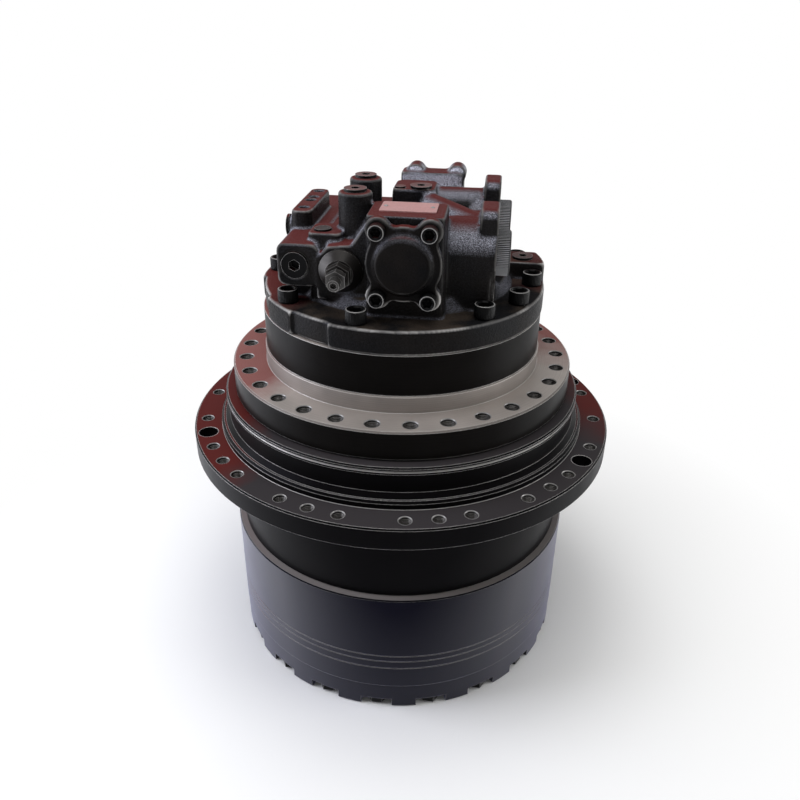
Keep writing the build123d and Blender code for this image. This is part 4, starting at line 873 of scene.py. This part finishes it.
class DRIVE_OT_screws(bpy.types.Operator):
    """Makes the knurled socket screws of the motor cover and the regulator cover"""

    bl_idname = "drive.screws"
    bl_label = "Make the socket screws"

    def execute(self, context):
        sizes = context.scene.drive_screws
        self.make("motor_cover_bolts", sizes, axis=2, sign=1, tall=0.016, across=0.014)
        self.make("regulator_bolts", sizes, axis=1, sign=-1, tall=0.012, across=0.010)
        return {"FINISHED"}

    def make(self, node, sizes, axis, sign, tall, across):
        """Screws whose heads end at each solid's far side along an axis."""
        shape = bmesh.new()
        for low, high in boxes_of(node):
            head = (high - low)[(axis + 1) % 3] / 2
            grip = (high - low)[axis] - tall
            middle, ahead = (low + high) / 2, Vector((0, 0, 0))
            ahead[axis] = sign
            middle[axis] = (high if sign > 0 else low)[axis] - sign * tall
            turn = Vector((0, 0, 1)).rotation_difference(ahead).to_matrix().to_4x4()
            place = Matrix.Translation(middle) @ turn
            socket_screw(shape, place, head, tall, tall / 2, grip, across, sizes)
        mesh = finish_mesh(shape, node + "_knurled")
        piece = new_piece(node + "_knurled", mesh, "bolt_steel", node, "screw_head", "worn_rim_highlight")
        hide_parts(node)


class DRIVE_OT_caps(bpy.types.Operator):
    """Makes the ridged caps that close the two ports"""

    bl_idname = "drive.caps"
    bl_label = "Make the port caps"

    def execute(self, context):
        sizes = context.scene.drive_screws
        steps, grip_band = 4 * sizes.cap_ridges, 2
        shape = bmesh.new()
        for low, high in boxes_of("port_caps"):
            middle, thick, radius = (low + high) / 2, (high - low).x, (high - low).y / 2
            dish, sideways = 0.68 * radius, Matrix.Rotation(TURN / 4, 4, "Y")
            bands = revolve(shape, [
                *round_rings(steps, *((radius - inset, rise) for inset, rise in CAP_FOOT)),
                *ridged_rings(steps, radius, sizes.cap_ridge_depth,
                              CAP_GRIP_FOOT, thick - CAP_GRIP_TOP),
                *round_rings(steps,
                             *((radius - inset, thick - fall) for inset, fall in CAP_SHOULDER),
                             *((dish - inset, thick - fall) for inset, fall in CAP_DISH),
                             *((out, thick - fall) for out, fall in CAP_BOSS)),
            ], Matrix.Translation((low.x, middle.y, middle.z)) @ sideways)
            # The crest and one side of each ridge take the painted ridge highlight
            for face in bands[grip_band][::4] + bands[grip_band][3::4]:
                face.material_index = 1
        mesh = finish_mesh(shape, "port_caps_ridged")
        piece = new_piece(
            "port_caps_ridged", mesh, "cap_plastic", "port_caps", "cap_plastic", "cap_ridge_highlight")
        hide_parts("port_caps")
        return {"FINISHED"}


class DRIVE_OT_rivets(bpy.types.Operator):
    """Sets a drive rivet near each end of the bare plate"""

    bl_idname = "drive.rivets"
    bl_label = "Set the plate rivets"

    def execute(self, context):
        steps, lifts, sunk = 24, (0, 0.35, 0.7, 1.05, 1.35), 0.0001
        sizes = context.scene.drive_screws
        radius, height = sizes.rivet_radius, sizes.rivet_height
        dome = [(radius * math.cos(lift), height * math.sin(lift) - sunk) for lift in lifts]
        low, high = (Vector(corner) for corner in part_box("nameplate"))
        middle = (low + high) / 2
        shape = bmesh.new()
        for x in (low.x + 2 * radius, high.x - 2 * radius):
            revolve(shape, round_rings(steps, *dome), Matrix.Translation((x, middle.y, high.z)))
        mesh = finish_mesh(shape, "plate_rivets", sharp=60)
        # The rivets take the painted rim highlight all over
        new_piece("plate_rivets", mesh, "plate_metal", "nameplate", "worn_rim_highlight")
        return {"FINISHED"}


class DRIVE_OT_threads(bpy.types.Operator):
    """Cuts the visible threads and bright rims of the holes in both flanges"""

    bl_idname = "drive.threads"
    bl_label = "Cut the flange threads"

    def execute(self, context):
        sizes = context.scene.drive_screws
        spindle, drum = bmesh.new(), bmesh.new()
        for mount in frame["record"]["mounts"]:
            dims, level = mount["dims"], mount["pos_m"][2]
            radius = dims.get("hole_r_mm", 0) / 1000
            if mount["name"] == "frame_bolts":
                circle = dims["pcd_mm"] / 2000
                for spot in self.ring_spots("spindle", circle, dims["count"], radius, level):
                    thread_turns(spindle, spot, radius, sizes)
            elif mount["name"].startswith("sprocket_bolts"):
                x, y = dims["spacing_x_mm"] / 2000, dims.get("spacing_y_mm", 0) / 2000
                for spot in sorted({(x, y), (-x, y), (x, -y), (-x, -y)}):
                    thread_turns(drum, Vector((*spot, level)), radius, sizes)
        for shape, node, slot in ((spindle, "spindle", "spindle_steel"),
                                  (drum, "sprocket_hub", "drum_paint")):
            mesh = finish_mesh(shape, node + "_threads", sharp=20)
            new_piece(node + "_threads", mesh, slot, node, "hole_thread", "worn_rim_highlight")
        return {"FINISHED"}

    def ring_spots(self, node, circle, count, radius, level):
        """The centres of a ring of equal holes, turned as the node's own hole edges are."""
        slack, total = 1e-4, 0
        for corner in frame["nodes"][node].data.vertices:
            x, y, z = corner.co
            if abs(z - level) < slack and abs(math.hypot(x, y) - circle) < radius + slack:
                bearing = count * math.atan2(y, x)
                total += complex(math.cos(bearing), math.sin(bearing))
        first = math.atan2(total.imag, total.real) / count
        return [around(first + TURN * place / count, circle, level) for place in range(count)]


class DRIVE_OT_springs(bpy.types.Operator):
    """Sets the springs of the brake piston and the spools as pieces of their own"""

    bl_idname = "drive.springs"
    bl_label = "Set the springs"

    def execute(self, context):
        self.spring("brake_spring", "brake_disc_spring", "brake_slide", along=2)
        self.spring("control_spring", "speed_control_spring", "speed_control_slide", along=1)
        for name, side in (("back_spring", 1), ("front_spring", -1)):
            self.spring(name, "counterbalance_springs", "counterbalance_slide", along=1, side=side)
        return {"FINISHED"}

    def spring(self, name, node, joint, along, side=0):
        """One spring, or the one on a side of the origin, as a piece of its own on the node's body.
        """
        shape = bmesh.new()
        shape.from_mesh(frame["nodes"][node].data)
        other = [spot for spot in shape.verts if spot.co[along] * side < 0]
        bmesh.ops.delete(shape, geom=other, context="VERTS")
        piece = new_piece(name, finish_mesh(shape, name, sharp=40), "spring_steel", node)
        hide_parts(node)
        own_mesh(piece)


class DRIVE_OT_stage(bpy.types.Operator):
    """Sets the pale floor, the soft lamps, the white surround and the camera"""

    bl_idname = "drive.stage"
    bl_label = "Set the stage"

    def execute(self, context):
        scene = context.scene
        stage = scene.drive_stage
        scene.view_settings.view_transform = "Standard"
        self.world(scene)
        self.floor(stage.floor_size)
        self.lamp("soft_box_left", *LEFT_BOX, stage.key_power, stage.key_colour)
        self.lamp("soft_box_right", *RIGHT_BOX, stage.fill_power, WHITE)
        self.lamp("soft_box_top", *TOP_BOX, stage.top_power, WHITE)
        self.camera(scene, stage)
        return {"FINISHED"}

    def seen(self, tree):
        """One for rays that show the surround: to the camera, in reflections and through glass."""
        path = add(tree, "LightPath").outputs
        shown = calc(tree, "MAXIMUM", path["Is Camera Ray"], path["Is Glossy Ray"])
        return calc(tree, "MAXIMUM", shown, path["Is Transmission Ray"]), path["Is Glossy Ray"]

    def world(self, scene):
        """White to the camera, white under a dim ceiling in reflections, and softer as light."""
        ambient, ceiling_foot, ceiling_top, dimming = 0.22, 0.06, 0.4, 0.75
        scene.world = bpy.data.worlds.new("studio")
        scene.world.use_nodes = True
        tree = scene.world.node_tree
        shine = tree.nodes["Background"]
        shine.inputs["Color"].default_value = (*WHITE, 1)
        shown, glossy = self.seen(tree)
        aim = split(tree, add(tree, "TexCoord").outputs["Generated"])[2]
        dim = product(tree, spread(tree, aim, ceiling_foot, ceiling_top, 0.0, dimming), glossy)
        bright = spread(tree, shown, 0, 1, ambient, 1.0)
        give(tree, shine, Strength=calc(tree, "SUBTRACT", bright, dim))

    def floor(self, size):
        """A pale matt floor that holds the shadow near the drive and runs out to white."""
        pale, paler = (0.93, 0.93, 0.93, 1), (0.96, 0.96, 0.96, 1)
        clouds, shadow_reach, mirror_reach, fade, sunk = 1.5, 0.30, 1.3, 0.45, 0.0005
        shape = bmesh.new()
        bmesh.ops.create_grid(shape, x_segments=8, y_segments=8, size=size / 2)
        mesh = bpy.data.meshes.new("floor")
        shape.to_mesh(mesh)
        shape.free()
        made, tree, shader = new_material("floor_white", Roughness=0.9, Specular_IOR_Level=0.1)
        place = spot_on(tree)
        give(tree, shader, Base_Color=mixed(tree, noise(tree, place, clouds, 3.0), pale, paler))
        away = add(tree, "VectorMath", {0: place}, operation="LENGTH").outputs["Value"]
        shown, glossy = self.seen(tree)
        near = spread(tree, glossy, 0, 1, shadow_reach, mirror_reach)
        far = calc(tree, "ADD", near, fade)
        white = product(tree, spread(tree, away, near, far), shown)
        glow = add(tree, "Emission", {"Strength": 1.0})
        blend = add(tree, "MixShader", {0: white, 1: shader.outputs[0], 2: glow.outputs[0]})
        give(tree, tree.nodes["Material Output"], Surface=blend.outputs[0])
        mesh.materials.append(made)
        ground = new_object("floor", mesh)
        ground.location.z = -sunk

    def lamp(self, name, place, size, watts, colour):
        """A soft box that faces the drive."""
        light = bpy.data.lights.new(name, "AREA")
        light.shape = "RECTANGLE"
        light.size, light.size_y = size
        light.energy = watts
        light.color = colour
        lamp = new_object(name, light)
        lamp.location = place
        aim = Vector(LAMP_AIM) - Vector(place)
        lamp.rotation_euler = aim.to_track_quat("-Z", "Y").to_euler()

    def camera(self, scene, stage):
        """The camera at the photograph's angle."""
        turn, pitch, roll = stage.camera_turn, stage.camera_pitch, stage.camera_roll
        ahead = around(turn + TURN / 4, math.cos(pitch), -math.sin(pitch))
        level = around(turn, 1)
        upright = level.cross(ahead)
        right = math.cos(roll) * level + math.sin(roll) * upright
        up = math.cos(roll) * upright - math.sin(roll) * level
        lens = bpy.data.cameras.new("camera")
        lens.sensor_width = 36
        lens.lens = stage.lens
        lens.shift_x = stage.shift
        lens.clip_start = 0.01
        eye = new_object("camera", lens)
        axes = Matrix((right, up, -ahead)).transposed().to_4x4()
        eye.matrix_world = Matrix.Translation(stage.camera_place) @ axes
        scene.camera = eye


class DRIVE_PT_panel(bpy.types.Panel):
    """Lists the pieces and their sizes"""

    bl_label = "Final Drive"
    bl_space_type = "VIEW_3D"
    bl_region_type = "UI"
    bl_category = "Final Drive"

    def draw(self, context):
        for operator in OPERATORS:
            self.layout.operator(operator.bl_idname)
        for holder in HOLDERS:
            group = getattr(context.scene, holder)
            for name in group.bl_rna.properties.keys():
                if name not in ("rna_type", "name"):
                    self.layout.prop(group, name)


HOLDERS = {"drive_colours": FinishColours, "drive_casting": CastingSizes,
           "drive_screws": ScrewSizes, "drive_stage": StageSettings}
OPERATORS = (DRIVE_OT_finishes, DRIVE_OT_castings, DRIVE_OT_screws, DRIVE_OT_caps, DRIVE_OT_rivets,
             DRIVE_OT_threads, DRIVE_OT_springs, DRIVE_OT_stage)


def register():
    for cls in (*HOLDERS.values(), *OPERATORS, DRIVE_PT_panel):
        bpy.utils.register_class(cls)
    for holder, cls in HOLDERS.items():
        setattr(bpy.types.Scene, holder, bpy.props.PointerProperty(type=cls))


def unregister():
    for holder in HOLDERS:
        delattr(bpy.types.Scene, holder)
    for cls in reversed((*HOLDERS.values(), *OPERATORS, DRIVE_PT_panel)):
        bpy.utils.unregister_class(cls)


def main():
    register()
    bpy.ops.drive.finishes()
    bpy.ops.drive.castings()
    bpy.ops.drive.screws()
    bpy.ops.drive.caps()
    bpy.ops.drive.rivets()
    bpy.ops.drive.threads()
    bpy.ops.drive.springs()
    bpy.ops.drive.stage()


if __name__ == "__main__":
    main()
